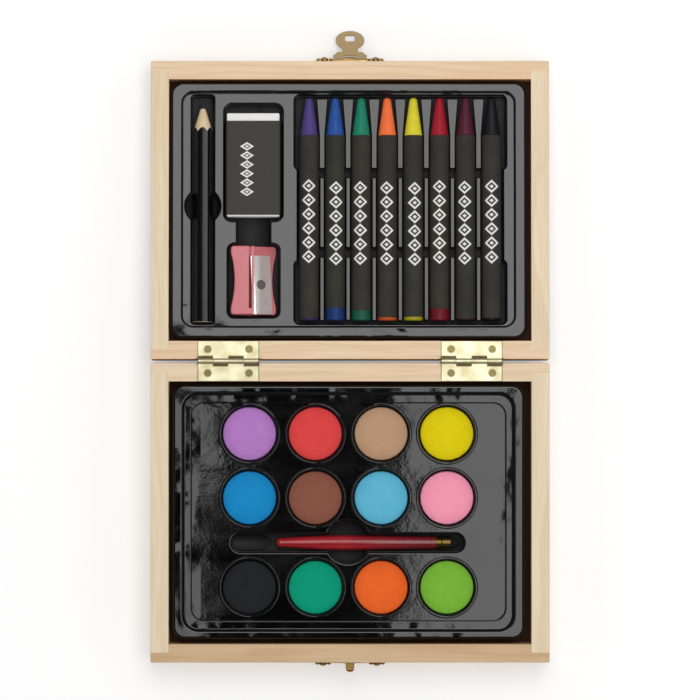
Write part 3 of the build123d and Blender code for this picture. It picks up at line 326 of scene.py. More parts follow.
def plated_brass(name, on_lid):
    """Thin brass-plated sheet, pressed and left bright: pale gold with faint roller lines,
    and dark olive painted shade along its sheared edges, round its nails and beside the
    knuckles."""
    material, tree, shader = new_finish(name, Metallic=1.0)
    lines = noise(tree, in_mm(tree, on_lid, size=(0.12, 4.0, 4.0)), 1.0, 3.0, 0.6)
    stain = noise(tree, in_mm(tree, on_lid), 0.16, 3.0, 0.5)
    tint = mixed(tree, spread(tree, stain, 0.35, 0.7), colour("#E8E2C2"), colour("#D3C99E"))
    place = axes(tree, in_mm(tree, on_lid))
    line = 0.0 if on_lid else hinge.y / MM
    reach = sums(tree, "ABSOLUTE", sums(tree, "SUBTRACT", place["Y"], line))
    middle = sums(tree, "MULTIPLY", sums(tree, "SIGN", place["X"]), hinge_middle)
    side = sums(tree, "SUBTRACT", place["X"], middle)
    half = sums(tree, "ABSOLUTE", side)
    # Painted shade: dark olive along the edges, round the nails and beside the knuckles
    painted_shade = spread(tree, half, leaf_half - 0.5, leaf_half - 0.25, 0.0, 0.7)
    from_nail = distance(
        tree,
        sums(tree, "SUBTRACT", half, leaf_nail_side),
        sums(tree, "SUBTRACT", reach, leaf_nail_reach),
    )
    painted_shade = sums(tree, "MAXIMUM", painted_shade, spread(tree, from_nail, 1.75, 1.4, 0.0, 0.75))
    from_end = sums(tree, "DIVIDE", sums(tree, "ADD", side, leaf_half), knuckle_pitch)
    odd = sums(tree, "MODULO", sums(tree, "FLOOR", from_end), 2.0)
    other = sums(tree, "SUBTRACT", 1.0, odd) if on_lid else odd
    beside = sums(
        tree,
        "MULTIPLY",
        spread(tree, reach, leaf_notch + 1.1, leaf_notch + 0.7),
        sums(tree, "GREATER_THAN", reach, leaf_notch - 0.2),
    )
    beside = sums(tree, "MULTIPLY", beside, sums(tree, "MULTIPLY", other, 0.95))
    painted_shade = sums(tree, "MAXIMUM", painted_shade, beside)
    tint = mixed(tree, painted_shade, tint, colour("#4A4020"))
    tree.links.new(tint, shader.inputs["Base Color"])
    tree.links.new(spread(tree, stain, 0.3, 0.75, 0.42, 0.52), shader.inputs["Roughness"])
    raise_by(tree, shader, sums(tree, "ADD", lines, stain), 0.012, 0.5)
    return material


def antique_brass(name, bright, dark, worn, on_lid=False, ear=None, inside=None):
    """Pressed brass, darkened in a bath and rubbed: brown in its hollows, gold where it
    stands up, and painted shade on the ears round each nail. The flap's inside is rougher,
    less metallic and painted pale, as a painted reflection of the light overhead."""
    material, tree, shader = new_finish(name, Metallic=1.0)
    grime = noise(tree, in_mm(tree), 0.55, 5.0, 0.7)
    edge = node(tree, "ShaderNodeNewGeometry").outputs["Pointiness"]
    tint = mixed(tree, spread(tree, grime, 0.4, 0.6), colour(bright), colour(dark))
    rough = spread(tree, grime, 0.3, 0.7, 0.28, 0.5)
    if inside:
        # Painted reflection: the inside face is made pale and less metallic to stand in for the
        # light it reflects
        within = spread(tree, facing(tree)["Z"], 0.3, 0.7)
        tint = mixed(tree, within, tint, colour(inside))
        rough = sums(tree, "ADD", rough, sums(tree, "MULTIPLY", within, 0.3))
        tree.links.new(spread(tree, within, 0.0, 1.0, 1.0, 0.3), shader.inputs["Metallic"])
    if ear:
        place = axes(tree, in_mm(tree, on_lid))
        side = sums(tree, "SUBTRACT", sums(tree, "ABSOLUTE", place["X"]), ear[0])
        up = sums(tree, "SUBTRACT", place["Z"], ear[1])
        reach = distance(tree, side, up)
        # Painted shade on each ear round its nail
        tint = mixed(tree, spread(tree, reach, 3.9, 3.0, 0.0, 0.45), tint, colour(dark))
        tint = mixed(tree, spread(tree, reach, 2.3, 1.9, 0.0, 0.8), tint, colour(bath_and_shade_black))
    tint = mixed(tree, spread(tree, edge, 0.495, 0.46, 0.0, 0.9), tint, colour(bath_and_shade_black))
    tint = mixed(tree, spread(tree, edge, 0.505, 0.56, 0.0, 0.8), tint, colour(worn))
    tree.links.new(tint, shader.inputs["Base Color"])
    tree.links.new(rough, shader.inputs["Roughness"])
    raise_by(tree, shader, grime, 0.09, 0.7)
    return material


def round_nails(name, on_lid):
    """Brass nails: the flush ones in the hinges have gone olive brown, and the domed ones
    in the clasp are rubbed gold, with painted shade round the foot of each dome."""
    material, tree, shader = new_finish(name, Metallic=1.0, Roughness=0.36)
    place = axes(tree, in_mm(tree, on_lid))
    line = 0.0 if on_lid else hinge.y / MM
    reach = sums(tree, "ABSOLUTE", sums(tree, "SUBTRACT", place["Y"], line))
    grime = noise(tree, in_mm(tree), 1.4, 3.0)
    flush = mixed(tree, grime, colour("#8C8052"), colour("#5E5330"))
    domed = mixed(tree, grime, colour("#CFAC70"), colour("#96723F"))
    # Painted shade round the foot of each dome
    foot_shade = spread(tree, sums(tree, "ABSOLUTE", facing(tree)["Y"]), 0.6, 0.35)
    domed = mixed(tree, foot_shade, domed, colour("#3A2812"))
    tint = mixed(tree, sums(tree, "GREATER_THAN", reach, nail_divide), flush, domed)
    tree.links.new(tint, shader.inputs["Base Color"])
    raise_by(tree, shader, grime, 0.03, 0.5)
    return material


def ground_steel(name, low, high, edge_x=None):
    """Hardened steel: fine grinding lines, a painted highlight in a band along the ground
    cutting edge, and painted shade in its hollows."""
    material, tree, shader = new_finish(name, Metallic=1.0)
    lines = noise(tree, in_mm(tree, True, size=(0.25, 9.0, 9.0)), 1.0, 3.0, 0.6)
    tint = mixed(tree, lines, colour(low), colour(high))
    if edge_x is not None:
        across = axes(tree, in_mm(tree, True))["X"]
        # Painted highlight along the cutting edge
        edge_highlight = spread(tree, across, edge_x + 4.2, edge_x + 2.8)
        tint = mixed(tree, edge_highlight, tint, colour("#FBF8F7"))
    # Painted shade in the hollows
    edge = node(tree, "ShaderNodeNewGeometry").outputs["Pointiness"]
    tint = mixed(tree, spread(tree, edge, 0.49, 0.45, 0.0, 0.8), tint, colour("#2B2627"))
    tree.links.new(tint, shader.inputs["Base Color"])
    tree.links.new(spread(tree, lines, 0.3, 0.7, 0.24, 0.42), shader.inputs["Roughness"])
    raise_by(tree, shader, lines, 0.01, 0.5)
    return material


# Plastic, paint, wax and paper finishes


# Where the crayons, the sleeve's print and the pencil lie, in millimetres from the hinge
# line with the lid level. The wrappers' seam is an angle from the top, in radians.
first_crayon = -16.5
crayon_pitch = 10.5
crayon_radius = 4.0
crayon_axis_z = -6.45
crayon_tip_y = 106.5
wrapper_seam = 1.35
# Over this span, in millimetres, the crayons darken toward their butts as painted shade
butt_shade_span = (30.0, 24.0)
sleeve_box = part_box("eraser_sleeve")
sleeve_print_x = 8.4
sleeve_print_y = 88.3
pencil_x = -59.3
pencil_z = -6.95
pencil_half = 3.5
pencil_end_y = 16.1
pencil_shine_x = -58.7

# Where the trays' buckled rims begin and are full, in millimetres from their middles
rim_across = (60.0, 66.0)
rim_along = (42.0, 47.0)


def dish(tree, place, middle, reach, depth):
    """The height of a shallow dish in millimetres: 0 at its middle, and level at its depth
    past its reach along X and Y."""
    parts = axes(tree, place)
    total = None
    for axis, start, span in zip("XY", middle, reach):
        share = sums(tree, "DIVIDE", sums(tree, "SUBTRACT", parts[axis], start), span)
        square = sums(tree, "MULTIPLY", share, share)
        total = square if total is None else sums(tree, "ADD", total, square)
    return sums(tree, "MULTIPLY", sums(tree, "MINIMUM", total, 1.0), depth)


def formed_polystyrene(name, on_lid, plateau, middle_y, dishes):
    """Black polystyrene sheet, vacuum formed: glossy, with the slow waves that the sheet
    keeps as it cools and a little handling dust. Its rim buckled most. The deep pockets are
    drawn thin, so their floors are duller, and the finger holds are dished."""
    material, tree, shader = new_finish(name, IOR=1.55)
    place = in_mm(tree, on_lid)
    dust = noise(tree, place, 1.1, 5.0, 0.7)
    smear = noise(tree, in_mm(tree, on_lid, size=(0.05, 0.09, 0.09)), 1.0, 3.0, 0.6)
    dusty = spread(tree, dust, 0.5, 0.8, 0.0, 0.3)
    tint = mixed(tree, dusty, colour("#050506"), colour("#0F0F11"))
    tree.links.new(tint, shader.inputs["Base Color"])
    parts = axes(tree, place)
    deep = spread(tree, parts["Z"], plateau - 1.2, plateau - 3.2)
    rough = spread(tree, smear, 0.3, 0.7, 0.04, 0.1)
    rough = sums(tree, "ADD", rough, spread(tree, dust, 0.55, 0.9, 0.0, 0.05))
    rough = sums(tree, "ADD", rough, sums(tree, "MULTIPLY", deep, 0.6))
    tree.links.new(rough, shader.inputs["Roughness"])
    rim_x = spread(tree, sums(tree, "ABSOLUTE", parts["X"]), *rim_across)
    from_middle = sums(tree, "SUBTRACT", parts["Y"], middle_y)
    rim_y = spread(tree, sums(tree, "ABSOLUTE", from_middle), *rim_along)
    rim = sums(tree, "MAXIMUM", rim_x, rim_y)
    waves = sums(tree, "MULTIPLY", noise(tree, place, 0.013, 2.0, 0.45), 0.55)
    buckles = sums(tree, "SUBTRACT", noise(tree, place, 0.05, 2.0, 0.5), 0.5)
    buckles = sums(tree, "MULTIPLY", sums(tree, "MULTIPLY", buckles, rim), 0.75)
    waves = sums(tree, "ADD", waves, buckles)
    ripples = sums(tree, "MULTIPLY", noise(tree, place, 0.09, 3.0, 0.55), 0.05)
    peel = sums(tree, "MULTIPLY", noise(tree, place, 0.9, 2.0, 0.5), 0.006)
    relief = sums(tree, "ADD", sums(tree, "ADD", waves, ripples), peel)
    for middle, reach, depth in dishes:
        hollow = dish(tree, place, middle, reach, depth)
        relief = sums(tree, "ADD", relief, sums(tree, "MULTIPLY", hollow, deep))
    raise_by(tree, shader, relief, 1.0)
    return material


def pressed_paint(name, tone, deep):
    """Poster paint, poured and dried to a chalky cake: dead matt, slightly uneven, and a
    little deeper in tone in soft clouds and fine specks."""
    material, tree, shader = new_finish(name, Roughness=0.88, Specular_IOR_Level=0.1)
    mottle = noise(tree, in_mm(tree), 0.28, 4.0, 0.6)
    grain = noise(tree, in_mm(tree), 3.5, 3.0, 0.6)
    tint = mixed(tree, spread(tree, mottle, 0.4, 0.75, 0.0, 0.35), colour(tone), colour(deep))
    tint = mixed(tree, spread(tree, grain, 0.55, 0.8, 0.0, 0.18), tint, colour(deep))
    tree.links.new(tint, shader.inputs["Base Color"])
    relief = sums(tree, "ADD", sums(tree, "MULTIPLY", mottle, 3.0), grain)
    raise_by(tree, shader, relief, 0.07, 0.7)
    return material


def moulded_wax(name, tone, deep):
    """Pigmented paraffin wax cast in a mould: soft sheen, faint bloom and rub marks, and
    painted shade toward the butt."""
    material, tree, shader = new_finish(name, Specular_IOR_Level=0.25)
    bloom = noise(tree, in_mm(tree, True), 0.6, 4.0, 0.6)
    rings = noise(tree, in_mm(tree, True, size=(0.4, 2.2, 0.4)), 1.0, 2.0)
    tint = mixed(tree, spread(tree, bloom, 0.42, 0.75, 0.0, 0.5), colour(tone), colour(deep))
    # Painted shade toward the butt
    butt_shade = mixed(tree, 1.0, colour(deep), colour("#B9B6B8"), "MULTIPLY")
    back = axes(tree, in_mm(tree, True))["Y"]
    tint = mixed(tree, spread(tree, back, *butt_shade_span, 0.0, 0.85), tint, butt_shade)
    tree.links.new(tint, shader.inputs["Base Color"])
    tree.links.new(spread(tree, bloom, 0.3, 0.7, 0.38, 0.6), shader.inputs["Roughness"])
    raise_by(tree, shader, sums(tree, "ADD", bloom, rings), 0.04, 0.6)
    return material


def lozenge_row(tree, run, across, start, pitch, count, half_run, half_across, line):
    """A mask of lozenge outlines in a row, each with a dot in its middle. The run, the
    start, the pitch and the half widths are in millimetres, and the line is a share of a
    half width."""
    step = sums(tree, "DIVIDE", sums(tree, "SUBTRACT", run, start), pitch)
    inside = sums(
        tree,
        "MULTIPLY",
        sums(tree, "GREATER_THAN", step, 0.0),
        sums(tree, "LESS_THAN", step, float(count)),
    )
    cell = sums(tree, "MULTIPLY", sums(tree, "SUBTRACT", sums(tree, "FRACT", step), 0.5), pitch)
    share_run = sums(tree, "DIVIDE", sums(tree, "ABSOLUTE", cell), half_run)
    share_across = sums(tree, "DIVIDE", sums(tree, "ABSOLUTE", across), half_across)
    ring = sums(tree, "ADD", share_run, share_across)
    outline = sums(
        tree,
        "MULTIPLY",
        spread(tree, ring, 1.0, 0.94),
        spread(tree, ring, 1.0 - line - 0.06, 1.0 - line),
    )
    dot = spread(tree, ring, 0.32, 0.26)
    return sums(tree, "MULTIPLY", inside, sums(tree, "MAXIMUM", outline, dot))


def printed_wrapper(name):
    """Uncoated charcoal paper, wound and glued round the wax, printed in white with a
    plain row of lozenges."""
    material, tree, shader = new_finish(name, Roughness=0.78, Specular_IOR_Level=0.35)
    parts = axes(tree, in_mm(tree, True))
    from_first = sums(tree, "SUBTRACT", parts["X"], first_crayon)
    index = sums(tree, "ROUND", sums(tree, "DIVIDE", from_first, crayon_pitch))
    middle = sums(tree, "ADD", sums(tree, "MULTIPLY", index, crayon_pitch), first_crayon)
    side = sums(tree, "SUBTRACT", parts["X"], middle)
    up = sums(tree, "SUBTRACT", parts["Z"], crayon_axis_z)
    # Each wrapper is turned and slid a little by its own chance
    chance = node(tree, "ShaderNodeTexWhiteNoise", {"W": index}, noise_dimensions="1D")
    chances = axes(tree, chance.outputs["Color"])
    angle = sums(tree, "ARCTAN2", side, up)
    angle = sums(tree, "ADD", angle, spread(tree, chances["X"], 0, 1, -0.14, 0.14))
    across = sums(tree, "MULTIPLY", angle, crayon_radius)
    run = sums(tree, "SUBTRACT", crayon_tip_y, parts["Y"])
    run = sums(tree, "SUBTRACT", run, spread(tree, chances["Y"], 0, 1, -0.9, 0.9))
    mask = lozenge_row(
        tree,
        run,
        across,
        start=33.6,
        pitch=5.7,
        count=6,
        half_run=2.75,
        half_across=3.1,
        line=0.36,
    )
    wear = noise(tree, in_mm(tree, True), 2.2, 4.0, 0.7)
    mask = sums(tree, "MULTIPLY", mask, spread(tree, wear, 0.74, 0.64))
    fibre = noise(tree, in_mm(tree, True), 4.5, 4.0, 0.7)
    cloud = noise(tree, in_mm(tree, True), 0.12, 3.0)
    tint = mixed(tree, spread(tree, fibre, 0.3, 0.75), colour("#272520"), colour("#38362F"))
    tint = mixed(tree, spread(tree, cloud, 0.4, 0.7, 0.0, 0.4), tint, colour("#403E35"))
    from_seam = sums(tree, "ABSOLUTE", sums(tree, "SUBTRACT", angle, wrapper_seam))
    seam = spread(tree, from_seam, 0.05, 0.03)
    tint = mixed(tree, sums(tree, "MULTIPLY", seam, 0.5), tint, colour("#1E1D1C"))
    tint = mixed(tree, mask, tint, colour("#E2E0DB"))
    tree.links.new(tint, shader.inputs["Base Color"])
    raise_by(tree, shader, sums(tree, "SUBTRACT", fibre, seam), 0.03, 0.6)
    return material


def printed_card(name):
    """Grey-black card, folded round the eraser, printed in white with a plain row of
    lozenges near its left edge."""
    material, tree, shader = new_finish(name, Roughness=0.66, Specular_IOR_Level=0.3)
    parts = axes(tree, in_mm(tree, True))
    left = sleeve_box[0].x / MM
    across = sums(tree, "SUBTRACT", parts["X"], left + sleeve_print_x)
    run = sums(tree, "SUBTRACT", sleeve_print_y, parts["Y"])
    mask = lozenge_row(
        tree,
        run,
        across,
        start=0.0,
        pitch=3.66,
        count=6,
        half_run=1.8,
        half_across=2.9,
        line=0.44,
    )
    top = sums(tree, "GREATER_THAN", facing(tree)["Z"], 0.9)
    mask = sums(tree, "MULTIPLY", mask, top)
    fibre = noise(tree, in_mm(tree, True), 3.0, 4.0, 0.7)
    tint = mixed(tree, spread(tree, fibre, 0.3, 0.75), colour("#383632"), colour("#45433D"))
    tint = mixed(tree, mask, tint, colour("#E2E0DB"))
    tree.links.new(tint, shader.inputs["Base Color"])
    raise_by(tree, shader, fibre, 0.03, 0.5)
    return material


def lacquered_cedar(name):
    """A six-sided cedar casing in black lacquer. Where the sharpener cut through, the bare
    wood shows, pinkish and finely streaked."""
    material, tree, shader = new_finish(name, Specular_IOR_Level=0.32)
    parts = axes(tree, in_mm(tree, True))
    side = sums(tree, "ABSOLUTE", sums(tree, "SUBTRACT", parts["X"], pencil_x))
    up = sums(tree, "ABSOLUTE", sums(tree, "SUBTRACT", parts["Z"], pencil_z))
    # How far out a point lies from the middle, square to the nearest of the six flats
    side_share = sums(tree, "MULTIPLY", side, math.sqrt(0.75))
    slant = sums(tree, "ADD", side_share, sums(tree, "MULTIPLY", up, 0.5))
    flats = sums(tree, "MAXIMUM", up, slant)
    coated = spread(tree, flats, pencil_half - 0.08, pencil_half - 0.03)
    end = sums(tree, "GREATER_THAN", parts["Y"], pencil_end_y)
    coated = sums(tree, "MULTIPLY", coated, end)
    streak = noise(tree, in_mm(tree, True, "y", (0.12, 3.2, 3.2)), 1.0, 3.0, 0.6)
    bare = mixed(tree, streak, colour("#EFE0BE"), colour("#CFAE7C"))
    tint = mixed(tree, coated, bare, colour("#0C0C0D"))
    tree.links.new(tint, shader.inputs["Base Color"])
    tree.links.new(spread(tree, coated, 0.0, 1.0, 0.75, 0.22), shader.inputs["Roughness"])
    ripple = noise(tree, in_mm(tree, True), 0.5, 2.0)
    rough_wood = sums(tree, "MULTIPLY", streak, sums(tree, "SUBTRACT", 1.0, coated))
    relief = sums(tree, "ADD", rough_wood, ripple)
    # The lacquer stands in a low crown along the top, so a light shows as one thin line
    crown = sums(tree, "POWER", sums(tree, "SUBTRACT", parts["X"], pencil_shine_x), 2.0)
    crown = sums(tree, "MULTIPLY", sums(tree, "MULTIPLY", crown, coated), -1.7)
    raise_by(tree, shader, sums(tree, "ADD", relief, crown), 0.04)
    return material


def sharpened_graphite(name):
    """Graphite and clay: dark grey with a metallic rub."""
    material, tree, shader = new_finish(name, Roughness=0.38, Metallic=0.35)
    rub = noise(tree, in_mm(tree, True, "y", (0.4, 4.0, 4.0)), 1.0, 3.0)
    tint = mixed(tree, rub, colour("#2B2B2E"), colour("#4A4A4F"))
    tree.links.new(tint, shader.inputs["Base Color"])
    raise_by(tree, shader, rub, 0.02, 0.5)
    return material


def cut_rubber(name):
    """White vinyl eraser: matt, faintly translucent, with a few specks of graphite."""
    material, tree, shader = new_finish(
        name, Roughness=0.62, Subsurface_Weight=0.1, Subsurface_Scale=MM
    )
    cloud = noise(tree, in_mm(tree, True), 0.3, 3.0)
    speck = noise(tree, in_mm(tree, True), 2.6, 2.0, 0.5)
    tint = mixed(tree, cloud, colour("#F4F3F0"), colour("#E4E3DE"))
    tint = mixed(tree, spread(tree, speck, 0.74, 0.8, 0.0, 0.35), tint, colour("#8A8986"))
    tree.links.new(tint, shader.inputs["Base Color"])
    raise_by(tree, shader, cloud, 0.1, 0.5)
    return material


def moulded_styrene(name):
    """Pink polystyrene from a polished mould: glossy, with a faint cloud in its tone."""
    material, tree, shader = new_finish(name, Roughness=0.3, IOR=1.59, Specular_IOR_Level=0.4)
    cloud = noise(tree, in_mm(tree, True), 0.25, 3.0)
    tint = mixed(tree, cloud, colour("#D2777C"), colour("#C05F66"))
    tree.links.new(tint, shader.inputs["Base Color"])
    raise_by(tree, shader, noise(tree, in_mm(tree, True), 0.8, 2.0), 0.03, 0.5)
    return material


def red_lacquer(name):
    """Turned hardwood handle, dipped twice in red lacquer: deep gloss and faint runs, and
    darker toward the ferrule."""
    material, tree, shader = new_finish(
        name, Roughness=0.3, Specular_IOR_Level=0.3, Coat_Weight=0.6, Coat_Roughness=0.07
    )
    runs = noise(tree, in_mm(tree, size=(0.08, 0.5, 0.5)), 1.0, 3.0)
    tint = mixed(tree, spread(tree, runs, 0.35, 0.7), colour("#AA1C26"), colour("#8A121B"))
    along = axes(tree, in_mm(tree))["X"]
    tint = mixed(tree, spread(tree, along, -8.0, 28.0, 0.0, 0.8), tint, colour("#5E0B13"))
    tree.links.new(tint, shader.inputs["Base Color"])
    raise_by(tree, shader, runs, 0.05, 0.6)
    return material


def drawn_brass(name):
    """Seamless brass tube, drawn and rolled: lines round the tube, and its gold darkened to
    brown as painted shade.
    """
    material, tree, shader = new_finish(name, Metallic=1.0, Roughness=0.3)
    lines = noise(tree, in_mm(tree, size=(6.0, 0.3, 0.3)), 1.0, 3.0)
    # Painted shade: the ferrule's brass is darkened to brown
    tint = mixed(tree, lines, colour("#7D6534"), colour("#4F3E1D"))
    tree.links.new(tint, shader.inputs["Base Color"])
    raise_by(tree, shader, lines, 0.01, 0.5)
    return material


def black_hair(name):
    """Soft black hair, finer toward the tip: near black with a low sheen along it."""
    material, tree, shader = new_finish(name, Roughness=0.42)
    strand = noise(tree, in_mm(tree, size=(0.3, 6.0, 6.0)), 1.0, 2.0)
    tint = mixed(tree, strand, colour("#121214"), colour("#2A2A2D"))
    tree.links.new(tint, shader.inputs["Base Color"])
    return material


# Finishes on the CAD nodes

# The last tone of each set is the painted shade laid on the flanks
rail_tones = ("#F0DBBF", "#D3AE86", "#E7C7A2", "#F2E2D0")
front_tones = ("#D9BC98", "#B58C64", "#C9A17B", "#FCF2E6")
side_tones = ("#ECDBBE", "#D6B88E", "#E3C9A4", "#FAEBDE")
lid_rail_tones = ("#EED5B5", "#D0A67A", "#E6C19A", "#EBD6BF")
lid_side_tones = ("#EEDCBF", "#D3B388", "#E3C8A4", "#F1DFD1")
wood_x = sawn_pine("sawn_pine_rails", rail_tones, "x", False, 52.0)
wood_front = sawn_pine("sawn_pine_front_rail", front_tones, "x", False, 71.0)
wood_y = sawn_pine("sawn_pine_sides", side_tones, "y", False, 88.0)
lid_wood_x = sawn_pine("sawn_pine_lid_rails", lid_rail_tones, "x", True, 47.0)
lid_wood_y = sawn_pine("sawn_pine_lid_sides", lid_side_tones, "y", True, 63.0)
coat_of("base_front_wall", wood_front)
coat_of("base_back_wall", wood_x)
coat_of("base_left_wall", wood_y)
coat_of("base_right_wall", wood_y)
coat_of("lid_front_wall", lid_wood_x)
coat_of("lid_back_wall", lid_wood_x)
coat_of("lid_left_wall", lid_wood_y)
coat_of("lid_right_wall", lid_wood_y)
coat_of("base_panel", faced_plywood("basswood_plywood_base", False))
coat_of("lid_panel", faced_plywood("basswood_plywood_lid", True))

coat_of("base_hinge_leaves", plated_brass("plated_brass_base_leaves", False))
pale_brass = plated_brass("plated_brass_lid_leaves", True)
coat_of("lid_hinge_leaves", pale_brass)
coat_of("hinge_pins", pale_brass)

# The clasp, in millimetres: the rim, the walls that its plates lie on (with the lid level),
# how far out the ears' faces stand, the plates' sheet, and each ear's place to the side and
# below the rim
rim_z = 19.0
catch_wall_y = -60.0
clasp_wall_y = 181.6
ear_out = 0.9
plate_sheet = 0.4
catch_ear_x = 10.8
catch_ear_z = rim_z - 7.8
clasp_ear_x = 10.3
clasp_ear_z = rim_z - 3.3
catch_brass = antique_brass(
    "antique_brass_catch", "#634526", "#221307", "#9C7848", ear=(catch_ear_x, catch_ear_z)
)
clasp_brass = antique_brass(
    "antique_brass_clasp",
    "#8A683C",
    "#372210",
    "#C29E68",
    on_lid=True,
    ear=(clasp_ear_x, clasp_ear_z - hinge.z / MM),
)
# The flap's pale inside tone is a painted reflection of the light overhead
flap_brass = antique_brass(
    "antique_brass_flap", "#6E5734", "#332210", "#A5875A", inside="#F6E4BA"
)
scroll_brass = antique_brass("rubbed_brass_scrolls", "#AA8550", "#674A24", "#D2AE76")
coat_of("catch_plate", catch_brass)
coat_of("clasp_plate", clasp_brass)
coat_of("clasp_flap", flap_brass)
coat_of("clasp_pin", flap_brass)
coat_of("base_nails", round_nails("round_brass_nails_base", False))
coat_of("lid_nails", round_nails("round_brass_nails_lid", True))

# Dished floors, each with its middle, its reach and its depth in millimetres: the brush's
# finger hold and slot, the pencil's finger hold, and the rest between the eraser and the
# sharpener. The plateaus are the trays' level tops round the pockets.
brush_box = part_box("brush_handle")
brush_y = (brush_box[0].y + brush_box[1].y) / 2 / MM
base_dishes = [((-0.9, brush_y + 0.5), (8.9, 8.9), 2.6), ((-40.0, brush_y), (9.0, 3.8), 1.4)]
lid_dishes = [((pencil_x, 62.7), (7.5, 7.5), 2.6), ((-38.9, 52.0), (6.6, 60.0), 2.0)]
paint_plateau = 13.4
tool_plateau = -5.05
lid_middle_y = 60.8
coat_of(
    "paint_tray",
    formed_polystyrene("formed_polystyrene_base", False, paint_plateau, 0.0, base_dishes),
)
coat_of(
    "tool_tray",
    formed_polystyrene("formed_polystyrene_lid", True, tool_plateau, lid_middle_y, lid_dishes),
)

paints = {
    "violet": ("#BC83CC", "#A56CB8"),
    "red": ("#E84A4A", "#CF3A3C"),
    "tan": ("#C39C7C", "#B0886A"),
    "yellow": ("#E8D411", "#D2BC0A"),
    "blue": ("#1C8ECD", "#1479B4"),
    "brown": ("#8F5949", "#7C4A3C"),
    "sky_blue": ("#64BDDC", "#4EABCC"),
    "pink": ("#FFA0BA", "#F08AA6"),
    "black": ("#26292C", "#1B1D20"),
    "green": ("#0BA07D", "#078A6B"),
    "orange": ("#F66B2C", "#E3591D"),
    "light_green": ("#7FBD3E", "#6CA92E"),
}
for name, (tone, deep) in paints.items():
    coat_of(f"paint_{name}", pressed_paint(f"poster_paint_{name}", tone, deep))

waxes = {
    "purple": ("#4C3F80", "#392E68"),
    "blue": ("#24529E", "#193D82"),
    "green": ("#178264", "#0E6A50"),
    "orange": ("#F6743C", "#E15D25"),
    "yellow": ("#DDD22E", "#C6BA1A"),
    "red": ("#A01128", "#820B1F"),
    "maroon": ("#551A2F", "#401021"),
    "black": ("#18181C", "#0F0F12"),
}
wrapper = printed_wrapper("wound_paper_wrapper")
for name, (tone, deep) in waxes.items():
    coat_of(f"crayon_{name}_wax", moulded_wax(f"paraffin_wax_{name}", tone, deep))
    coat_of(f"crayon_{name}_wrapper", wrapper)

coat_of("pencil_casing", lacquered_cedar("lacquered_cedar_pencil"))
coat_of("pencil_lead", sharpened_graphite("sharpened_graphite"))
coat_of("eraser_block", cut_rubber("cut_vinyl_eraser"))
coat_of("eraser_sleeve", printed_card("folded_card_sleeve"))
coat_of("sharpener_body", moulded_styrene("moulded_styrene_sharpener"))
blade_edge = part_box("sharpener_blade")[0].x / MM
# The blade's pinkish greys are steel grey with a painted reflection of the pink body
coat_of("sharpener_blade", ground_steel("ground_steel_blade", "#D2BFBD", "#E6D8D6", blade_edge))
coat_of("sharpener_screw", ground_steel("slotted_steel_screw", "#6F6866", "#8F8886"))
coat_of("brush_handle", red_lacquer("red_lacquer_handle"))
coat_of("brush_ferrule", drawn_brass("drawn_brass_ferrule"))


# New pieces


def as_piece(shape, name, material, body, smooth=True):
    """Turns a bmesh into an object that rides on a body."""
    bmesh.ops.recalc_face_normals(shape, faces=shape.faces)
    mesh = bpy.data.meshes.new(name)
    shape.to_mesh(mesh)
    shape.free()
    for face in mesh.polygons:
        face.use_smooth = smooth
    mesh.materials.append(material)
    piece = bpy.data.objects.new(name, mesh)
    bpy.context.scene.collection.objects.link(piece)
    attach(piece, body)
    return piece


def brush_tuft():
    """The brush's hair: thin tapered hairs that leave the ferrule and draw to a round tip.
    A golden angle from one hair to the next fills the ferrule evenly."""
    low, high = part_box("brush_bristles")
    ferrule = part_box("brush_ferrule")
    centre = (low + high) / 2
    sunk, spare = 0.6 * MM, 0.12 * MM
    thick, thin = 0.085 * MM, 0.03 * MM
    root_x = ferrule[1].x - sunk
    tip_x = high.x
    root = (high.z - low.z) / 2 - spare
    hairs = bmesh.new()
    chance = random.Random(7)
    count = 900
    golden_angle = 2.399963
    for index in range(count):
        share = math.sqrt((index + 0.5) / count)
        turn = index * golden_angle
        reach = root * share
        length = (tip_x - root_x) * (0.52 + 0.48 * math.sqrt(max(0.0, 1 - share**2)))
        length *= chance.uniform(0.93, 1.0)
        swell = 1.0 + 0.04 * chance.uniform(-1, 1)
        made = bmesh.ops.create_cone(
            hairs, segments=4, radius1=thick, radius2=thin, depth=length
        )["verts"]
        bmesh.ops.rotate(hairs, verts=made, matrix=Matrix.Rotation(math.pi / 2, 3, "Y"))
        y = centre.y + reach * swell * math.cos(turn)
        z = centre.z + reach * swell * math.sin(turn)
        bmesh.ops.translate(hairs, verts=made, vec=(root_x + length / 2, y, z))
        for vert in made:
            along = (vert.co.x - root_x) / (tip_x - root_x)
            pull = 1 - 0.22 * along * along
            vert.co.y = centre.y + (vert.co.y - centre.y) * pull
            vert.co.z = centre.z + (vert.co.z - centre.z) * pull
    piece = as_piece(hairs, "brush_tuft", black_hair("soft_black_hair"), "brush", smooth=False)
    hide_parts("brush_bristles")


def ear_beads(name, ears, turn, body, brass):
    """A ring of eight small beads pressed up round each nail of a clasp plate."""
    ring, bead = 2.55 * MM, 0.62 * MM
    beads = bmesh.new()
    for ear in ears:
        for lobe in range(8):
            angle = math.radians(45 * lobe + 22.5)
            made = bmesh.ops.create_uvsphere(beads, u_segments=10, v_segments=6, radius=bead)
            spot = Vector((math.cos(angle), 0, math.sin(angle))) * ring
            bmesh.ops.scale(beads, verts=made["verts"], vec=(1.0, 0.75, 1.0))
            bmesh.ops.translate(beads, verts=made["verts"], vec=ear + turn @ spot)
    piece = as_piece(beads, name, brass, body)


brush_tuft()

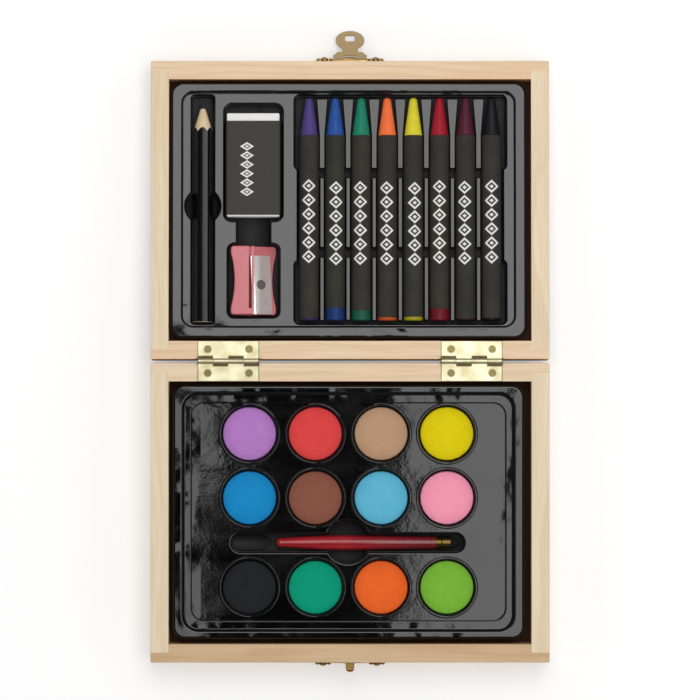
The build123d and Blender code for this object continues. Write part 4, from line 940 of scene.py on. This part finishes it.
catch_ears = []
clasp_ears = []
for side in (-1, 1):
    catch_ears.append(Vector((side * catch_ear_x, catch_wall_y - ear_out, catch_ear_z)) * MM)
    level = Vector((side * clasp_ear_x, clasp_wall_y + ear_out, clasp_ear_z)) * MM
    clasp_ears.append(to_row @ (level - Vector((0, hinge.y, hinge.z))))
ear_beads("catch_ear_beads", catch_ears, Matrix.Identity(3), "base", catch_brass)
lid_turn = Matrix.Rotation(-lean, 3, "X")
ear_beads("clasp_ear_beads", clasp_ears, lid_turn, "lid", clasp_brass)


def pressed_arc(shape, place, radius, wire, start, sweep):
    """A raised wire pressed up along an arc, in a plate's own frame: X across the plate,
    Y out of it and Z along it. Its start and sweep are in degrees, from X toward Z."""
    ring = bmesh.new()
    first = bmesh.ops.create_circle(ring, segments=8, radius=wire * MM)["verts"]
    bmesh.ops.translate(ring, verts=first, vec=(radius * MM, 0, 0))
    full = sweep == 360
    bmesh.ops.spin(
        ring,
        geom=ring.verts[:] + ring.edges[:],
        cent=(0, 0, 0),
        axis=(0, 1, 0),
        angle=math.radians(-sweep),
        steps=max(6, round(sweep / 15)),
        use_merge=full,
    )
    if not full:
        bmesh.ops.holes_fill(ring, edges=[e for e in ring.edges if e.is_boundary])
    turn = Matrix.Rotation(math.radians(-start), 3, "Y")
    bmesh.ops.rotate(ring, verts=ring.verts, matrix=turn)
    bmesh.ops.scale(ring, verts=ring.verts, vec=(1.0, 0.6, 1.0))
    bmesh.ops.transform(ring, matrix=place, verts=ring.verts)
    part = bpy.data.meshes.new("pressed_arc")
    ring.to_mesh(part)
    ring.free()
    shape.from_mesh(part)
    bpy.data.meshes.remove(part)


def plate_ornament(name, plate, arcs, body, brass):
    """Scrolls and rings pressed up on the outer face of a clasp plate. Each arc has its
    middle across and along the plate, its radius, its wire, its start and its sweep."""
    scrolls = bmesh.new()
    for x, z, radius, wire, start, sweep in arcs:
        place = plate @ Matrix.Translation(Vector((x, 0, z)) * MM)
        pressed_arc(scrolls, place, radius, wire, start, sweep)
    piece = as_piece(scrolls, name, brass, body)


# The flap's own frame: Y looks out of its outer face and Z runs from the pin to its tip.
# Its arcs are the rim of its head, two ribs along its neck and a scroll on each shoulder.
# They lie half in the sheet, behind the pin, so that little more than their crowns shows.
flap_open = -math.radians(joints["clasp_hinge"]["range_deg"][0])
behind_pin = Vector((0, -0.58, 0)) * MM
flap_plate = (
    Matrix.Translation(Vector(joints["clasp_hinge"]["pos_m"]))
    @ Matrix.Rotation(-lean - flap_open, 4, "X")
    @ Matrix.Translation(behind_pin)
)
flap_arcs = [
    (0.0, 8.6, 3.95, 0.42, -52, 284),
    (-8.6, 4.0, 7.2, 0.36, -15, 30),
    (8.6, 4.0, 7.2, 0.36, 165, 30),
    (-4.4, 1.7, 1.1, 0.38, 0, 180),
    (4.4, 1.7, 1.1, 0.38, 0, 180),
]
plate_ornament("flap_scrolls", flap_plate, flap_arcs, "clasp", scroll_brass)

# The catch has a ring to each side of a middle one, and a scroll below and between
catch_face = Vector((0, catch_wall_y - plate_sheet, rim_z)) * MM
catch_plate = Matrix.Translation(catch_face) @ Matrix.Rotation(math.pi, 4, "Z")
catch_arcs = []
for side in (-1, 1):
    catch_arcs.append((side * 5.6, -7.4, 1.35, 0.4, 0, 360))
    catch_arcs.append((side * 2.9, -8.9, 1.0, 0.34, 0, 180))
catch_arcs.append((0.0, -7.8, 1.5, 0.4, 0, 360))
plate_ornament("catch_scrolls", catch_plate, catch_arcs, "base", scroll_brass)

# The clasp plate has one scroll between each ear and the flap
clasp_face = Vector((0, clasp_wall_y + plate_sheet - hinge.y / MM, rim_z - hinge.z / MM)) * MM
clasp_plate = to_row @ Matrix.Translation(clasp_face)
clasp_arcs = [(4.6, -2.6, 1.45, 0.4, -60, 120), (-4.6, -2.6, 1.45, 0.4, 120, 120)]
plate_ornament("clasp_scrolls", clasp_plate, clasp_arcs, "lid", scroll_brass)


# Stage: a pale floor, soft overhead panels, and a surround that is dark overhead


def floor_finish():
    """White paper that reads as white wherever no shadow falls on it."""
    material, tree, shader = new_finish("white_floor", Roughness=0.9)
    shader.inputs["Base Color"].default_value = colour("#DEDEDE")
    shader.inputs["Emission Color"].default_value = (1, 1, 1, 1)
    path = node(tree, "ShaderNodeLightPath").outputs
    seen = sums(tree, "MAXIMUM", path["Is Camera Ray"], path["Is Glossy Ray"])
    tree.links.new(sums(tree, "MULTIPLY", seen, 0.35), shader.inputs["Emission Strength"])
    return material


floor_shape = bmesh.new()
bmesh.ops.create_grid(floor_shape, x_segments=1, y_segments=1, size=6.0)
floor_mesh = bpy.data.meshes.new("floor")
floor_shape.to_mesh(floor_mesh)
floor_shape.free()
floor_mesh.materials.append(floor_finish())
floor = bpy.data.objects.new("floor", floor_mesh)
bpy.context.scene.collection.objects.link(floor)
floor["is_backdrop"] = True


def surround():
    """A white studio with a dark ceiling. In reflections its walls are mostly black cloth,
    so that glossy black stays black between the panels' reflections."""
    world = bpy.data.worlds.new("surround")
    world.use_nodes = True
    tree = world.node_tree
    height = axes(tree, node(tree, "ShaderNodeTexCoord").outputs["Generated"])["Z"]
    strength = spread(tree, height, 0.55, 0.8, 1.0, 0.04)
    reflected = node(tree, "ShaderNodeLightPath").outputs["Is Glossy Ray"]
    strength = sums(tree, "MULTIPLY", strength, spread(tree, reflected, 0.0, 1.0, 1.0, 0.25))
    tree.links.new(strength, tree.nodes["Background"].inputs["Strength"])
    tree.nodes["Background"].inputs["Color"].default_value = (1, 1, 1, 1)
    bpy.context.scene.world = world


surround()


def panel(name, place, size, radiance):
    """A soft panel that faces down, with an even radiance. Each is seen in the trays' gloss
    where its mirror image meets the camera."""
    width, depth = size
    light = bpy.data.lights.new(name, "AREA")
    light.shape = "RECTANGLE"
    light.size = width
    light.size_y = depth
    light.energy = radiance * math.pi * width * depth
    lamp = bpy.data.objects.new(name, light)
    lamp.location = place
    lamp.visible_camera = False
    bpy.context.scene.collection.objects.link(lamp)


panel("lid_panel_lamp", (0.12, 0.46, 1.1), (0.72, 0.62), 3.5)
panel("right_panel_lamp", (0.29, -0.1, 1.1), (0.5, 0.5), 2.7)
panel("left_strip_lamp", (-0.17, -0.04, 1.1), (0.13, 0.3), 2.4)
panel("left_patch_lamp", (-0.09, 0.012, 1.1), (0.03, 0.075), 2.4)

# A long lens straight overhead, as in the photo's open view. It is as far above the trays
# as makes the open set and a small margin fill the square picture.
low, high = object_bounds()
middle = (low + high) / 2
camera_data = bpy.data.cameras.new("camera")
camera_data.sensor_width = 36.0
camera_data.lens = 230.0
camera_data.clip_end = 50.0
camera = bpy.data.objects.new("camera", camera_data)
bpy.context.scene.collection.objects.link(camera)
tray_height = 0.012
margin = 1.09
frame_height = (high.y - low.y) * margin
above = frame_height * camera_data.lens / camera_data.sensor_width
camera.location = (middle.x, middle.y, tray_height + above)
bpy.context.scene.camera = camera

bpy.context.scene.view_settings.view_transform = "Standard"
